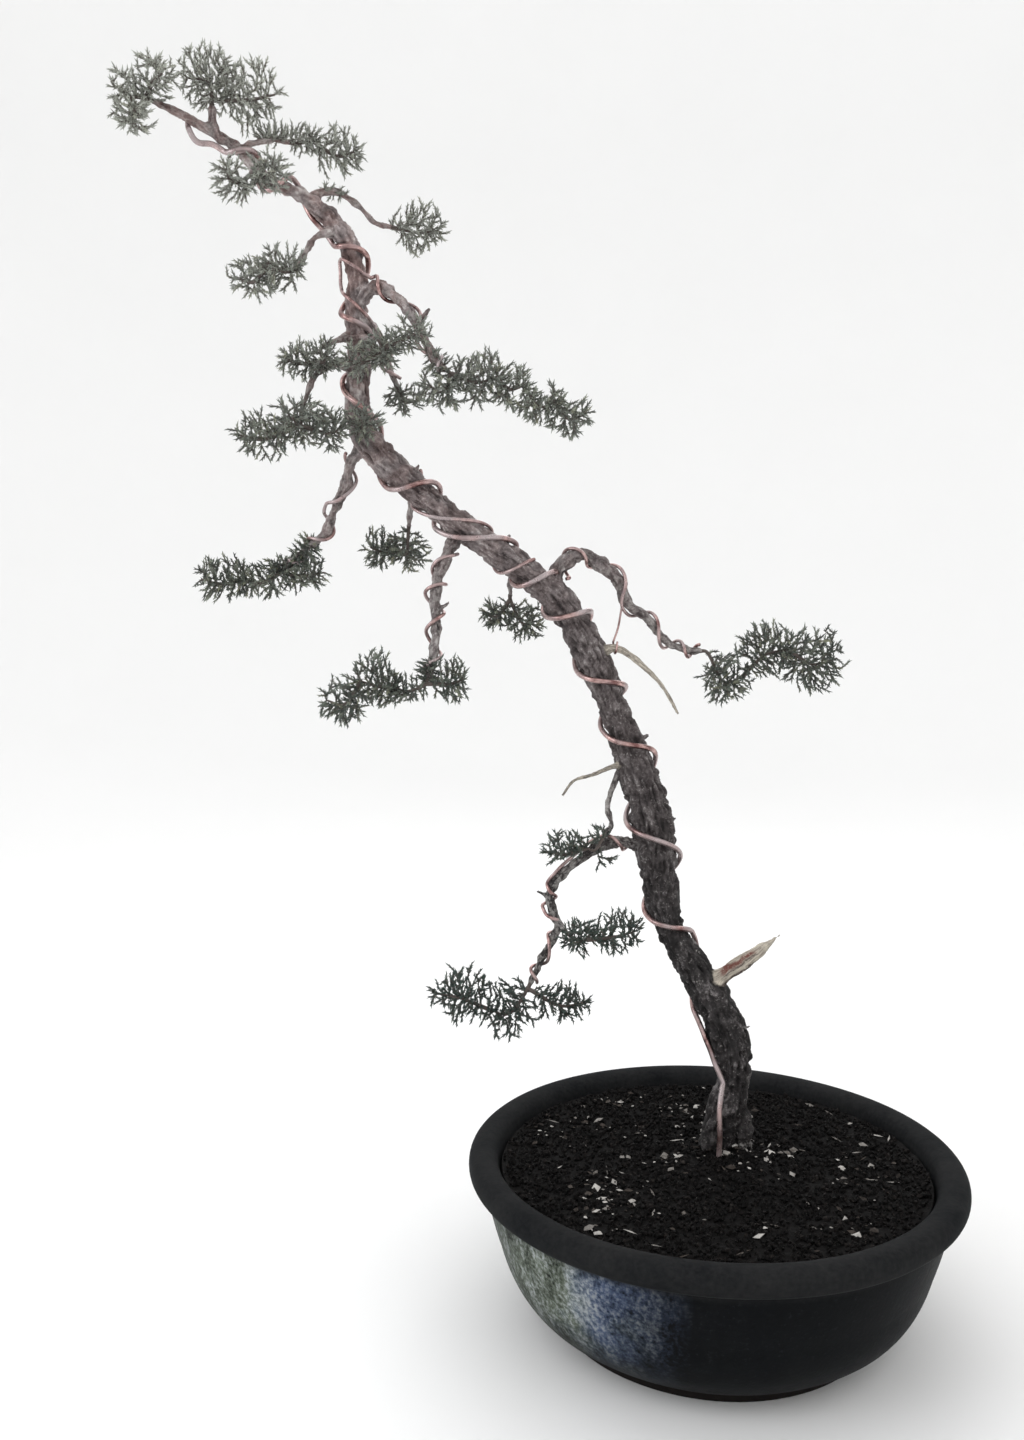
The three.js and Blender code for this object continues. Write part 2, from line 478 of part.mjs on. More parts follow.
// A limb whose faces can be raised. A face is four corners in order, seen from outside.
class LeafyLimb {
  constructor(points, sides) {
    const geometry = limb(points.map(([p, r]) => [p.x, p.y, p.z, r]), sides, 1);
    const old = Array.from(geometry.index.array);
    const steps = points.length - 1;
    const sideFaces = 6 * sides * steps;
    this.places = Array.from(geometry.attributes.position.array);
    this.rows = Array.from({ length: steps }, (_, step) => (
      Array.from({ length: sides }, (_, side) => {
        const six = old.slice(6 * (side * steps + steps - 1 - step), 6 * (side * steps + steps - step));
        return [six[0], six[1], six[4], six[5]];
      })));
    this.triangles = old.slice(sideFaces);
  }

  corner(i) {
    return new THREE.Vector3().fromArray(this.places, 3 * i);
  }

  middleOf(face) {
    return face.reduce((sum, i) => sum.add(this.corner(i)), new THREE.Vector3()).divideScalar(4);
  }

  add(place) {
    this.places.push(...place.toArray());
    return this.places.length / 3 - 1;
  }

  // Two triangles where there is no apex, else a four-sided spike
  close(face, apex) {
    if (!apex) {
      this.triangles.push(face[0], face[1], face[3], face[1], face[2], face[3]);
      return;
    }
    const top = this.add(apex);
    face.forEach((from, i) => this.triangles.push(from, face[(i + 1) % 4], top));
  }

  // Draws a face out through more points, and returns the faces round each step and the one at the end
  drawOut(face, points) {
    const root = this.middleOf(face);
    const corners = face.map((i) => this.corner(i).sub(root));
    const reach = corners[0].length();
    let last = face;
    const rows = points.map(([centre, radius]) => {
      const next = corners.map((c) => this.add(c.clone().multiplyScalar(radius / reach).add(centre)));
      const round = next.map((_, i) => [last[i], last[(i + 1) % 4], next[(i + 1) % 4], next[i]]);
      last = next;
      return round;
    });
    return { rows, end: last };
  }

  geometry() {
    const leafy = new THREE.BufferGeometry();
    leafy.setAttribute("position", new THREE.Float32BufferAttribute(this.places, 3));
    return leafy.setIndex(this.triangles);
  }
}

// The points of a straight length and their radii, after its first point
function stepsBetween(from, to, startRadius, endRadius) {
  const count = Math.max(1, Math.round(from.distanceTo(to) / stepLength));
  return Array.from({ length: count }, (_, k) => {
    const share = (k + 1) / count;
    return [from.clone().lerp(to, share), THREE.MathUtils.lerp(startRadius, endRadius, share)];
  });
}

// Where a needle ends: nearer where it would leave its lobe, and nowhere if something is in its way
function needleEnd(owner, lobe, root, aim, longest) {
  const along = (length) => root.clone().addScaledVector(aim, length);
  const isOutside = (place) => place.sub(lobe.middle).divide(lobe.half).length() > lobeReach;
  let length = longest;
  while (length > shortestNeedle && isOutside(along(length))) length -= 0.5;
  const end = along(length);
  if (!isClear(owner, root, end, needleRadius)) return null;
  take(owner, root, end, needleRadius, 0.2);
  return end;
}

// Raises the faces round each step of a limb into needles that lean forward
function raiseNeedles(growth, draw) {
  const { body, owner, lobe, rows, axis } = growth;
  rows.forEach((row, step) => {
    const from = axis[step][0];
    const to = axis[step + 1][0];
    const forward = to.clone().sub(from).normalize();
    for (const face of row) {
      const root = body.middleOf(face);
      const aim = root.clone().sub(from.clone().lerp(to, 0.5)).normalize();
      const aside = forward.clone().cross(aim).multiplyScalar(0.9 * (draw() - 0.5));
      aim.add(aside).addScaledVector(forward, 0.6 + 0.7 * draw()).normalize();
      body.close(face, needleEnd(owner, lobe, root, aim, needleLength * (0.75 + 0.35 * draw())));
    }
  });
}

// Shoots drawn out of the core's faces towards the outside of its lobe, in turn round the core
function drawShoots({ body, lobe, rows, axis }, { name, forward, turn, number, spacing }, draw) {
  const { half } = lobe;
  const across = new THREE.Vector3(-forward.y, forward.x, 0);
  const shoots = [];
  const count = Math.round((half.y + half.z) / spacing);
  for (let i = 0; i < count; i++) {
    const angle = goldenAngle * i + turn + 0.4 * draw();
    const side = across.clone().multiplyScalar(half.y * Math.cos(angle)).setZ(half.z * Math.sin(angle));
    const row = Math.floor(((i + 0.5) / count) * rows.length);
    const centre = axis[row][0].clone().lerp(axis[row + 1][0], 0.5);
    const towards = (face) => body.middleOf(face).sub(centre).normalize().dot(side);
    const face = rows[row].reduce((a, b) => (towards(a) > towards(b) ? a : b));
    const length = side.length() - fringe;
    if (length < shortestShoot) continue;
    const root = body.middleOf(face);
    const tip = root.clone().add(side.setLength(length)).addScaledVector(forward, 0.35 * length);
    if (!isClear(name, root, tip, shootRadius)) continue;
    const points = stepsBetween(root, tip, shootRadius, 0.6 * shootRadius);
    const owner = `${name} ${number}-${i}`;
    const shootAxis = [[root, shootRadius], ...points];
    takePath(owner, shootAxis);
    rows[row] = rows[row].filter((other) => other !== face);
    shoots.push({ ...body.drawOut(face, points), axis: shootAxis, owner, body, lobe });
  }
  return shoots;
}

// A spray: a slim core that runs through each lobe, with shoots and needles on it
function spray(name, { on, lobes, spacing = shootSpacing }, seed) {
  const draw = draws(seed);
  const branch = paths[on];
  const route = new Route(vectors(branch));
  const end = route.getPoint(1);
  const heading = route.getTangent(1);
  const stemRadius = branch[branch.length - 1][3];
  const joints = [end.clone().addScaledVector(heading, 3)];
  const growths = [];
  for (const [number, [x, y, z, halfX, halfY, halfZ]] of lobes.entries()) {
    const lobe = { middle: new THREE.Vector3(x, y, z), half: new THREE.Vector3(halfX, halfY, halfZ) };
    const nearness = (joint) => joint.distanceTo(lobe.middle);
    const joint = joints.reduce((a, b) => (nearness(a) < nearness(b) ? a : b));
    const forward = lobe.middle.clone().sub(joint).setZ(0).normalize();
    const heart = lobe.middle.clone().setZ(z - 0.15 * halfZ);
    const far = heart.clone().addScaledVector(forward, Math.max(halfX - fringe, 2)).setZ(z);
    const stem = number === 0
      ? [[end.clone().addScaledVector(heading, gap), stemRadius], [joint, stemRadius]]
      : [[joint, coreRadius]];
    const core = [...stem, ...stepsBetween(joint, heart, coreRadius, coreRadius),
      ...stepsBetween(heart, far, coreRadius, 0.8 * coreRadius)];
    const body = new LeafyLimb(core, 5);
    const owner = `${name} ${number}`;
    takePath(owner, core);
    joints.push(heart, far);
    body.rows.splice(0, stem.length).flat().forEach((face) => body.close(face));
    const growth = { body, owner, lobe, rows: body.rows, axis: core.slice(stem.length) };
    growth.shoots = drawShoots(growth, { name, forward, turn: 0.6 * number, number, spacing }, draw);
    growths.push(growth);
  }
  for (const growth of growths) {
    raiseNeedles(growth, draw);
    for (const shoot of growth.shoots) {
      shoot.rows[0].forEach((face) => shoot.body.close(face));
      raiseNeedles({ ...shoot, rows: shoot.rows.slice(1), axis: shoot.axis.slice(1) }, draw);
      const [[before], [last]] = shoot.axis.slice(-2);
      const onward = last.clone().sub(before).normalize();
      shoot.body.close(shoot.end, needleEnd(shoot.owner, shoot.lobe, last, onward, needleLength));
    }
  }
  return joined(growths.map(({ body }) => body.geometry()));
}

const plant = new THREE.Group();
const wires = Object.entries(windings).map(([name, winding]) => (
  { name, points: windingPoints(paths[winding.on], winding), radius: winding.radius }
));
plant.add(meshOf("pot", pot(), colours.glaze));
plant.add(meshOf("drain_screen", drainScreen(), colours.mesh));
plant.add(meshOf("soil", soil(), colours.soil));
plant.add(meshOf("tree", tree(wires), colours.bark));
for (const { name, points, radius } of wires) {
  plant.add(meshOf(name, solidOf(wireAlong(points, radius, wireSides)), colours.copper));
  takePath(name, points.map((point) => [point, radius]));
}
const guyPoints = vectors(guyWire);
plant.add(meshOf("guy_wire", solidOf(wireAlong(guyPoints, guyWireRadius, 5)), colours.copper));
takePath("guy_wire", guyPoints.map((point) => [point, guyWireRadius]));
for (const points of [trunkPoints, ...Object.values(branchPoints), ...Object.values(deadPoints)]) {
  const route = new Route(vectors(points));
  const steps = (points.length - 1) * 2;
  takePath("tree", Array.from({ length: steps + 1 }, (_, i) => (
    [route.getPoint(i / steps), radiusAlong(points, i / 2) * (1 + barkRelief)])));
}
Object.entries(sprays).forEach(([name, layout], index) => {
  plant.add(meshOf(`spray_${name}`, spray(name, layout, 101 + 13 * index), colours.leaf));
});

// Stands the middle of the outline over the origin
const outline = new THREE.Box3().setFromObject(plant);
const middle = outline.getCenter(new THREE.Vector3());
plant.position.set(-middle.x, -middle.y, 0);
const bonsai = new THREE.Group();
bonsai.add(plant);

export default bonsai;
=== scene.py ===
import math
import bpy
import numpy as np
from numpy.linalg import norm
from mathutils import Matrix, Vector, noise


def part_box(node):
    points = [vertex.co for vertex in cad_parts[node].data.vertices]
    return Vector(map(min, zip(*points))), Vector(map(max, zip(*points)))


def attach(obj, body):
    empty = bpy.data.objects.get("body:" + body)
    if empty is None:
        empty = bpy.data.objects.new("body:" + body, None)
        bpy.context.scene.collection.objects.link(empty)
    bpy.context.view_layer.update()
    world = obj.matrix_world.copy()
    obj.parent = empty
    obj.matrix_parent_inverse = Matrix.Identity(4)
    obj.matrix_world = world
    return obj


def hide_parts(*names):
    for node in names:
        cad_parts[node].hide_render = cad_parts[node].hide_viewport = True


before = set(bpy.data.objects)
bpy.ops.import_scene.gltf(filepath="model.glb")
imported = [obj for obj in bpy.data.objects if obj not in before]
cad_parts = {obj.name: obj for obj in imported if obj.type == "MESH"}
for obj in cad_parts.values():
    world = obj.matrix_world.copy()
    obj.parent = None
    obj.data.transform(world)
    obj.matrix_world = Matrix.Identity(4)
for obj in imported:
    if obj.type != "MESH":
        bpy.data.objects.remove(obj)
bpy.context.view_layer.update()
potLow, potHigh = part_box("pot")
potAxis = np.array([(potLow.x + potHigh.x) / 2, (potLow.y + potHigh.y) / 2, 0.0])
scene = bpy.context.scene
print("model loaded, the pot's axis at", potAxis.round(4))

# All lengths are in millimetres from the pot's axis, X to the right, Y to the back, Z up
mm = 0.001


def inScene(name, data):
    made = bpy.data.objects.new(name, data)
    scene.collection.objects.link(made)
    return made


# Camera
view = {"at": (-111, -650, 370), "tiltDown": 3.7, "lens": 30, "sensor": 36}
cameraData = bpy.data.cameras.new("camera")
cameraData.lens = view["lens"]
cameraData.sensor_width = view["sensor"]
camera = inScene("camera", cameraData)
camera.location = potAxis + np.array(view["at"]) * mm
camera.rotation_euler = (math.radians(90 - view["tiltDown"]), 0, 0)
scene.camera = camera


# One output socket, so that a plain sum of two becomes nodes
class Flow:
    def __init__(self, tree, socket=None):
        self.tree, self.socket = tree, socket

    def node(self, kind, settings=None, inputs=None, out=0):
        made = self.tree.nodes.new("ShaderNode" + kind)
        for name, value in (settings or {}).items():
            setattr(made, name, value)
        for name, value in (inputs or {}).items():
            if isinstance(value, Flow):
                self.tree.links.new(value.socket, made.inputs[name])
            else:
                made.inputs[name].default_value = value
        return Flow(self.tree, made.outputs[out])

    def join(self, operation, other):
        kind = "VectorMath" if self.socket.type == "VECTOR" else "Math"
        return self.node(kind, {"operation": operation}, {0: self, 1: other})

    def __add__(self, other):
        return self.join("ADD", other)

    def __sub__(self, other):
        return self.join("SUBTRACT", other)

    def __rsub__(self, other):
        return self.node("Math", {"operation": "SUBTRACT"}, {0: other, 1: self})

    def __mul__(self, other):
        return self.join("MULTIPLY", other)

    def axis(self, number):  # one part of a vector
        return self.node("SeparateXYZ", {}, {0: self}, number)

    def between(self, low, high):  # 0 at low, 1 at high, and no further
        return self.node("MapRange", {"clamp": True}, {"Value": self, "From Min": low, "From Max": high})

    def tone(self, stops):  # a colour for each place between 0 and 1
        flow = self.node("ValToRGB", {}, {"Fac": self})
        elements = flow.socket.node.color_ramp.elements
        while len(elements) < len(stops):
            elements.new(0.5)
        for element, (place, colour) in zip(elements, stops):
            element.position = place
            element.color = (*colour, 1)
        return flow

    def pick(self, first, second):  # the first colour where this is 0, the second where it is 1
        sides = [s if isinstance(s, Flow) else (*s, 1) for s in (first, second)]
        return self.node("Mix", {"data_type": "RGBA"}, {0: self, 6: sides[0], 7: sides[1]}, 2)

    def noise(self, scale, detail=3, roughness=0.5, warp=0.0):
        return self.node("TexNoise", {}, {"Vector": self, "Scale": scale, "Detail": detail,
                                          "Roughness": roughness, "Distortion": warp})

    def bump(self, strength, depth):
        return self.node("Bump", {}, {"Height": self, "Strength": strength, "Distance": depth})


def finish(name, paint):
    material = bpy.data.materials.new(name)
    material.use_nodes = True
    tree = material.node_tree
    tree.nodes.clear()
    surface = tree.nodes.new("ShaderNodeBsdfPrincipled")
    output = tree.nodes.new("ShaderNodeOutputMaterial")
    tree.links.new(surface.outputs[0], output.inputs["Surface"])
    for socket, value in paint(Flow(tree)).items():
        if isinstance(value, Flow):
            tree.links.new(value.socket, surface.inputs[socket])
        else:
            surface.inputs[socket].default_value = value
    return material


def placeOf(start):
    return start.node("TexCoord", out=3)


def stored(start, name, vector=False):
    return start.node("Attribute", {"attribute_name": name}, out=1 if vector else 2)


# Meshes
def meshPiece(name, verts, faces, material, node, smooth=True, stores=None):
    mesh = bpy.data.meshes.new(name)
    mesh.from_pydata(((np.asarray(verts) * mm) + potAxis).tolist(), [], faces)
    mesh.polygons.foreach_set("use_smooth", [smooth] * len(mesh.polygons))
    for key, values in (stores or {}).items():
        values = np.asarray(values, np.float32)
        if values.ndim == 2:
            mesh.attributes.new(key, "FLOAT_VECTOR", "POINT").data.foreach_set("vector", values.ravel())
        else:
            mesh.attributes.new(key, "FLOAT", "POINT").data.foreach_set("value", values)
    mesh.materials.append(material)
    mesh.update()
    piece = inScene(name, mesh)
    if node:
        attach(piece, "root")
        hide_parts(node)
    return piece


def applied(piece):  # the piece's mesh with its modifiers
    graph = bpy.context.evaluated_depsgraph_get()
    return bpy.data.meshes.new_from_object(piece.evaluated_get(graph))


def gather(parts):  # joins (verts, faces) pairs, and says which part each vertex is of
    verts, faces, owner, start = [], [], [], 0
    for number, (v, f) in enumerate(parts):
        verts.append(v)
        faces.extend([tuple(i + start for i in face) for face in f])
        owner.extend([number] * len(v))
        start += len(v)
    return np.vstack(verts), faces, np.array(owner)


def unit(v):
    v = np.asarray(v, float)
    return v / np.maximum(norm(v, axis=-1, keepdims=True), 1e-9)


def rowsAt(places, marks, table):  # a table's rows at places between its marks
    return np.stack([np.interp(places, marks, table[:, k]) for k in range(3)], 1)


def smoothPath(points, steps):  # a centripetal curve through the points, its steps falling on them
    p = np.array([q[:3] for q in points], float)
    p = np.vstack([2 * p[0] - p[1], p, 2 * p[-1] - p[-2]])
    path = []
    for a, b, c, d in zip(p, p[1:], p[2:], p[3:]):
        t0, t1, t2 = (max(norm(v) ** 0.5, 1e-4) for v in (b - a, c - b, d - c))
        m1 = ((b - a) / t0 - (c - a) / (t0 + t1) + (c - b) / t1) * t1
        m2 = ((c - b) / t1 - (d - b) / (t1 + t2) + (d - c) / t2) * t1
        for t in np.arange(steps) / steps:
            path.append(b + m1 * t + (3 * (c - b) - 2 * m1 - m2) * t ** 2 + (2 * (b - c) + m1 + m2) * t ** 3)
    path.append(p[-2])
    return np.array(path)


def radiiAlong(points, steps):
    r = [q[3] for q in points]
    return np.interp(np.arange((len(r) - 1) * steps + 1) / steps, range(len(r)), r)


def framesAlong(path):
    tangents = unit(np.gradient(path, axis=0))
    normal = np.cross(tangents[0], [0, 0, 1] if abs(tangents[0][2]) < 0.9 else [0, 1, 0])
    normals = []
    for tangent in tangents:
        normal = unit(normal - tangent * (normal @ tangent))
        normals.append(normal)
    normals = np.array(normals)
    return tangents, normals, np.cross(tangents, normals)


def ringFaces(rows, sides, closed=False):  # quads from each ring of vertices to the next
    ring = np.arange(rows * sides).reshape(rows, sides)
    if closed:
        ring = np.vstack([ring, ring[:1]])
    turned = np.roll(ring, -1, 1)
    return np.stack([ring[:-1], turned[:-1], turned[1:], ring[1:]], -1).reshape(-1, 4).tolist()


def sweep(path, radii, sides, flat=1.0):
    path = np.asarray(path, float)
    _, normals, across = framesAlong(path)
    angle = 2 * np.pi * np.arange(sides) / sides
    rings = (np.cos(angle)[None, :, None] * normals[:, None] * flat
             + np.sin(angle)[None, :, None] * across[:, None])
    verts = path[:, None] + rings * np.broadcast_to(radii, len(path))[:, None, None]
    faces = ringFaces(len(path), sides)
    faces.append(tuple(reversed(range(sides))))
    faces.append(tuple(range((len(path) - 1) * sides, len(path) * sides)))
    return verts.reshape(-1, 3), faces


def spikes(roots, aims, lengths, radii):  # many small three-sided needles at once
    roots, aims = np.asarray(roots, float), unit(aims)
    side = unit(np.cross(aims, [0.31, 0.52, 0.79]))
    other = np.cross(aims, side)
    angle = 2 * np.pi * np.arange(3) / 3
    ring = np.cos(angle)[None, :, None] * side[:, None] + np.sin(angle)[None, :, None] * other[:, None]
    base = roots[:, None] + ring * np.asarray(radii)[:, None, None]
    tips = roots + aims * np.asarray(lengths)[:, None]
    verts = np.concatenate([base, tips[:, None]], 1).reshape(-1, 3)
    first = np.arange(len(roots))[:, None] * 4
    corners = ((0, 1, 3), (1, 2, 3), (2, 0, 3), (2, 1, 0))
    return verts, np.vstack([first + corner for corner in corners]).tolist()


# Wood
wood = {
    "trunk": [
        (12, 14, 104, 9), (14, 14, 120, 8.6), (14, 14, 136, 10), (10, 14, 152, 10.8),
        (3, 15, 168, 10.4), (-6, 17, 183, 9.5), (-17, 20, 200, 8), (-24, 22, 216, 8.4),
        (-27, 25, 236, 10.3), (-30, 27, 258, 11.7), (-34, 28, 279, 11.7), (-41, 28, 301, 10.6),
        (-50, 26, 323, 8.2), (-59, 22, 346, 8.6), (-71, 18, 371, 9.2), (-84, 12, 391, 8.8),
        (-104, 7, 409, 7.6), (-124, 3, 422, 7.2), (-142, -1, 435, 7.4), (-160, -3, 450, 7.2),
        (-178, -5, 466, 7.8), (-190, -5, 482, 7.3), (-193, -3, 500, 6.2), (-192, -1, 522, 5.8),
        (-194, 1, 544, 5.9), (-193, 0, 562, 5.2), (-197, -3, 579, 5.2), (-208, -7, 593, 4.8),
        (-222, -14, 602, 3.6), (-236, -20, 606, 3.2), (-249, -26, 618, 3), (-264, -30, 627, 2.7),
        (-279, -36, 634, 1.9), (-289, -39, 637, 1.4)],
    "rootLeft": [(9, 14, 116, 6.5), (4, 13, 103, 5.2), (0, 12, 91, 4.4), (-1, 12, 70, 3.6)],
    "rootRight": [(14, 14, 116, 6.5), (18, 13, 103, 5), (21, 13, 91, 4.2), (22, 13, 70, 3.5)],
    "rootBack": [(13, 17, 112, 6.5), (13, 24, 102, 4.8), (13, 29, 91, 4), (13, 31, 70, 3.4)],
    "crown": [(-260, -29, 625, 2.6), (-262, -28, 632, 2.2), (-262, -28, 639, 1.7)],
    "left_high": [(-202, -5, 586, 3), (-212, -12, 581, 1.9), (-217, -20, 570, 1.6), (-220, -28, 560, 1.3)],
    "right_high": [(-216, -11, 598, 3), (-211, -3, 606, 2.1), (-203, 3, 608, 1.9), (-193, 9, 603, 1.7),
        (-185, 14, 596, 1.5), (-176, 18, 595, 1.4)],
    "right_crown": [(-249, -26, 618, 2.6), (-242, -21, 624, 1.8), (-232, -14, 628, 1.6),
        (-226, -9, 629, 1.4)],
    "front_high": [(-240, -22, 609, 2.8), (-241, -30, 606, 1.7), (-241, -37, 602, 1.4)],
    "left_knot": [(-193, 0, 533, 4), (-200, -8, 529, 1.9), (-208, -14, 524, 1.4)],
    "right_knot": [(-193, 0, 530, 4), (-187, -9, 529, 1.8), (-182, -15, 527, 1.4)],
    "right_upper": [(-193, 0, 548, 4.6), (-188, -3, 555, 3.7), (-181, -6, 557, 3.5), (-174, -11, 552, 3.2),
        (-164, -16, 541, 2.9), (-156, -21, 525, 2.6), (-150, -25, 514, 2.4),
        (-145, -27, 509, 2.2)],
    "right_inner": [(-193, 0, 541, 3.2), (-184, 3, 537, 2.2), (-179, 4, 525, 2), (-176, 4, 514, 1.9),
        (-172, 3, 506, 1.7)],
    "left_mid": [(-193, -2, 514, 4), (-204, -8, 516, 2.1), (-213, -15, 509, 1.7), (-217, -22, 496, 1.5)],
    "tuft": [(-191, -5, 488, 4), (-190, -13, 487, 1.7), (-189, -17, 485, 1.4)],
    "left_low": [(-188, -4, 476, 4.4), (-197, -1, 466, 3.2), (-201, 3, 454, 2.9), (-208, 8, 441, 2.6),
        (-213, 12, 430, 2.5), (-224, 17, 422, 2.3), (-231, 20, 416, 2.2), (-237, 22, 411, 2)],
    "under_fork": [(-163, -3, 452, 3), (-166, 9, 443, 1.7), (-168, 19, 434, 1.4)],
    "hanging": [(-139, 0, 430, 4.4), (-145, -4, 418, 3.5), (-150, -9, 404, 3.2), (-151, -14, 390, 3),
        (-151, -19, 374, 2.7), (-153, -25, 356, 2.4), (-155, -27, 351, 2.2)],
    "under_bend": [(-108, 6, 409, 3), (-112, 15, 404, 1.6), (-112, 25, 396, 1.3)],
    "right_low": [(-87, 11, 396, 5.5), (-87, 12, 407, 4.4), (-80, 14, 415, 4.1), (-71, 16, 418, 3.9),
        (-60, 18, 412, 3.6), (-52, 20, 404, 3.4), (-47, 23, 392, 3.1), (-36, 24, 384, 2.9),
        (-25, 27, 371, 2.6), (-14, 29, 366, 2.5), (-4, 30, 365, 2.3)],
    "left_shelf": [(-41, 27, 300, 3), (-50, 27, 296, 2.1), (-55, 26, 285, 1.8), (-57, 25, 277, 1.7),
        (-55, 22, 267, 1.6), (-59, 17, 262, 1.5)],
    "left_cascade": [(-30, 27, 259, 6), (-40, 25, 256, 3.7), (-50, 23, 258, 3.4), (-61, 21, 256, 3.2),
        (-72, 18, 249, 3), (-83, 16, 240, 2.8), (-90, 14, 230, 2.6), (-89, 12, 222, 2.5),
        (-86, 10, 213, 2.3), (-88, 8, 206, 2.2), (-94, 5, 196, 2), (-98, 3, 188, 1.9),
        (-101, 2, 182, 1.8)],
    "cascade_side": [(-87, 10, 217, 2.6), (-83, 4, 213, 1.7), (-80, -3, 211, 1.4)],
}
deadWood = {
    "flake": [(0, 15, 178, 6.5), (9, 12, 185, 4.4), (18, 9, 192, 4.3), (27, 6, 200, 3.4), (35, 4, 207, 0.7)],
    "strip": [(-64, 20, 362, 4), (-55, 16, 367, 2.3), (-46, 12, 363, 2), (-37, 7, 355, 1.6),
        (-29, 3, 346, 1.2), (-21, -2, 331, 0.9)],
    "splinter": [(-43, 27, 302, 3), (-55, 22, 300, 1.5), (-66, 18, 296, 1.3), (-77, 14, 293, 1),
        (-83, 12, 285, 0.8)],
}
snags = [  # short broken stubs, and last the wood that fills the crotch of the roots
    [(-160, -19, 535, 1.8), (-153, -22, 541, 0.8)], [(-151, -15, 386, 1.8), (-144, -17, 391, 0.8)],
    [(-90, 14, 228, 1.8), (-97, 15, 231, 0.8)], [(-30, 27, 262, 2.4), (-18, 25, 271, 0.9)],
    [(-46, 27, 312, 2.4), (-34, 24, 318, 0.9)], [(-165, -4, 454, 2.2), (-160, -8, 464, 0.9)],
    [(-118, 4, 418, 2.2), (-112, 2, 428, 0.9)], [(10, 14, 150, 2.4), (22, 8, 156, 0.9)],
    [(11, 14, 118, 7.5), (11, 15, 106, 7.2), (11, 16, 94, 6.6), (11, 16, 78, 6)]]

bark = {
    "voxel": 0.86, "swell": 0.3, "swellEvery": 0.42, "slimBelow": 5, "apart": 37,
    # relief as shares of the radius, and its limits in millimetres
    "lift": 0.03, "lumps": 0.16, "ridges": 0.2, "flakes": 0.13, "knobs": 0.26, "knobScale": 0.19,
    "deadShare": 0.35, "deepest": 1.7, "proud": 0.95,
    # the height where pale bark starts, and how much higher it's full
    "paleFrom": 215, "paleOver": 350,
    "low": [(0.004, 0.003, 0.003), (0.014, 0.012, 0.012), (0.043, 0.038, 0.038), (0.19, 0.175, 0.175)],
    "high": [(0.06, 0.048, 0.048), (0.185, 0.15, 0.148), (0.38, 0.325, 0.32), (0.7, 0.66, 0.64)],
    "warm": [(0.075, 0.045, 0.042), (0.2, 0.13, 0.12), (0.46, 0.34, 0.32)],
    "fleck": (0.42, 0.4, 0.38), "deadPale": (0.66, 0.6, 0.5), "deadGrey": (0.3, 0.26, 0.22),
    "deadRed": (0.17, 0.062, 0.048), "deadShadow": (0.07, 0.05, 0.042), "worn": (0.06, 0.052, 0.047),
}
# How each relief repeats: across the grain, along it, and where it starts
barkRepeats = {"lump": (1.6, 0.55, 0), "ridge": (5.0, 0.9, 9), "flake": (9, 3, 30)}
weathered = {"strip": 0.6, "splinter": 1.0}  # how far each dead twig has gone grey
# Splinters on the broken flake: how far aside, start, end and radius
splinters = [(3.2, 0.12, 0.62, 2), (-3, 0.05, 0.7, 1.9), (0.5, 0.3, 1.16, 1.5), (-1.6, 0.45, 0.9, 1.7),
             (1.6, -0.02, 0.3, 2.6), (-2.6, -0.12, 0.3, 2.2)]
flakePath = smoothPath(deadWood["flake"], 6)
flakeRoot, flakeTip = flakePath[3], flakePath[-1]
flakeWay = unit(flakeTip - flakePath[0])
flakeSide = unit(np.array([-flakeWay[2], 0, flakeWay[0]]))


def barkPaint(start):
    grain, place = stored(start, "grain", True), placeOf(start)
    dead, relief, rise = (stored(start, name) for name in ("dead", "relief", "rise"))
    fibres = (grain * (1, 1, 0.45)).noise(8, 7, 0.7, 0.8)
    blotch = place.noise(120, 5, 0.7)
    specks = place.noise(650, 4, 0.7)
    patches = place.noise(62, 3, 0.6)
    # relief brings the painted furrow shade into the bark's tone, over its own blotches, patches and specks
    lit = (relief * 0.45 + fibres * 0.45 + blotch * 0.8 + patches * 0.7 + specks * 0.45).between(1.18, 1.78)
    marks = (0.0, 0.35, 0.7, 1.0)
    live = rise.pick(lit.tone(list(zip(marks, bark["low"]))), lit.tone(list(zip(marks, bark["high"]))))
    warm = lit.tone(list(zip((0.0, 0.5, 1.0), bark["warm"])))
    live = (rise.between(0.45, 1.0) * place.noise(90, 4).between(0.42, 0.56) * 0.85).pick(live, warm)
    live = (specks.between(0.58, 0.68) * blotch.between(0.42, 0.6) * 0.8).pick(live, bark["fleck"])
    # pale scurf on thin branches
    scurf = (fibres * 0.5 + place.noise(260, 4, 0.65) * 0.6).between(0.51, 0.62)
    live = (stored(start, "slim") * scurf * 0.7).pick(live, bark["fleck"])
    # stripped wood, with the flake's red vein and a painted shadow along its dark edge
    streaks = (grain * (1.8, 1.8, 0.3)).noise(6, 6, 0.65)
    stripped = streaks.between(0.38, 0.62).pick(bark["deadGrey"], bark["deadPale"])
    gone = stored(start, "worn") * (streaks * 0.6 + specks * 0.5).between(0.68, 0.42)
    stripped = gone.pick(stripped, bark["worn"])
    vein, edge = stored(start, "vein"), stored(start, "edge")
    stripped = (vein * (1.0 - specks.between(0.5, 0.75) * 0.7)).pick(stripped, bark["deadRed"])
    stripped = (edge * specks.between(0.3, 0.5)).pick(stripped, bark["deadShadow"])
    height = fibres * 0.7 + specks * 0.35 + blotch * 0.5
    return {"Base Color": dead.pick(live, stripped), "Roughness": fibres * 0.25 + 0.62,
            "Specular IOR Level": 0.35, "Normal": height.bump(0.85, 0.0016)}


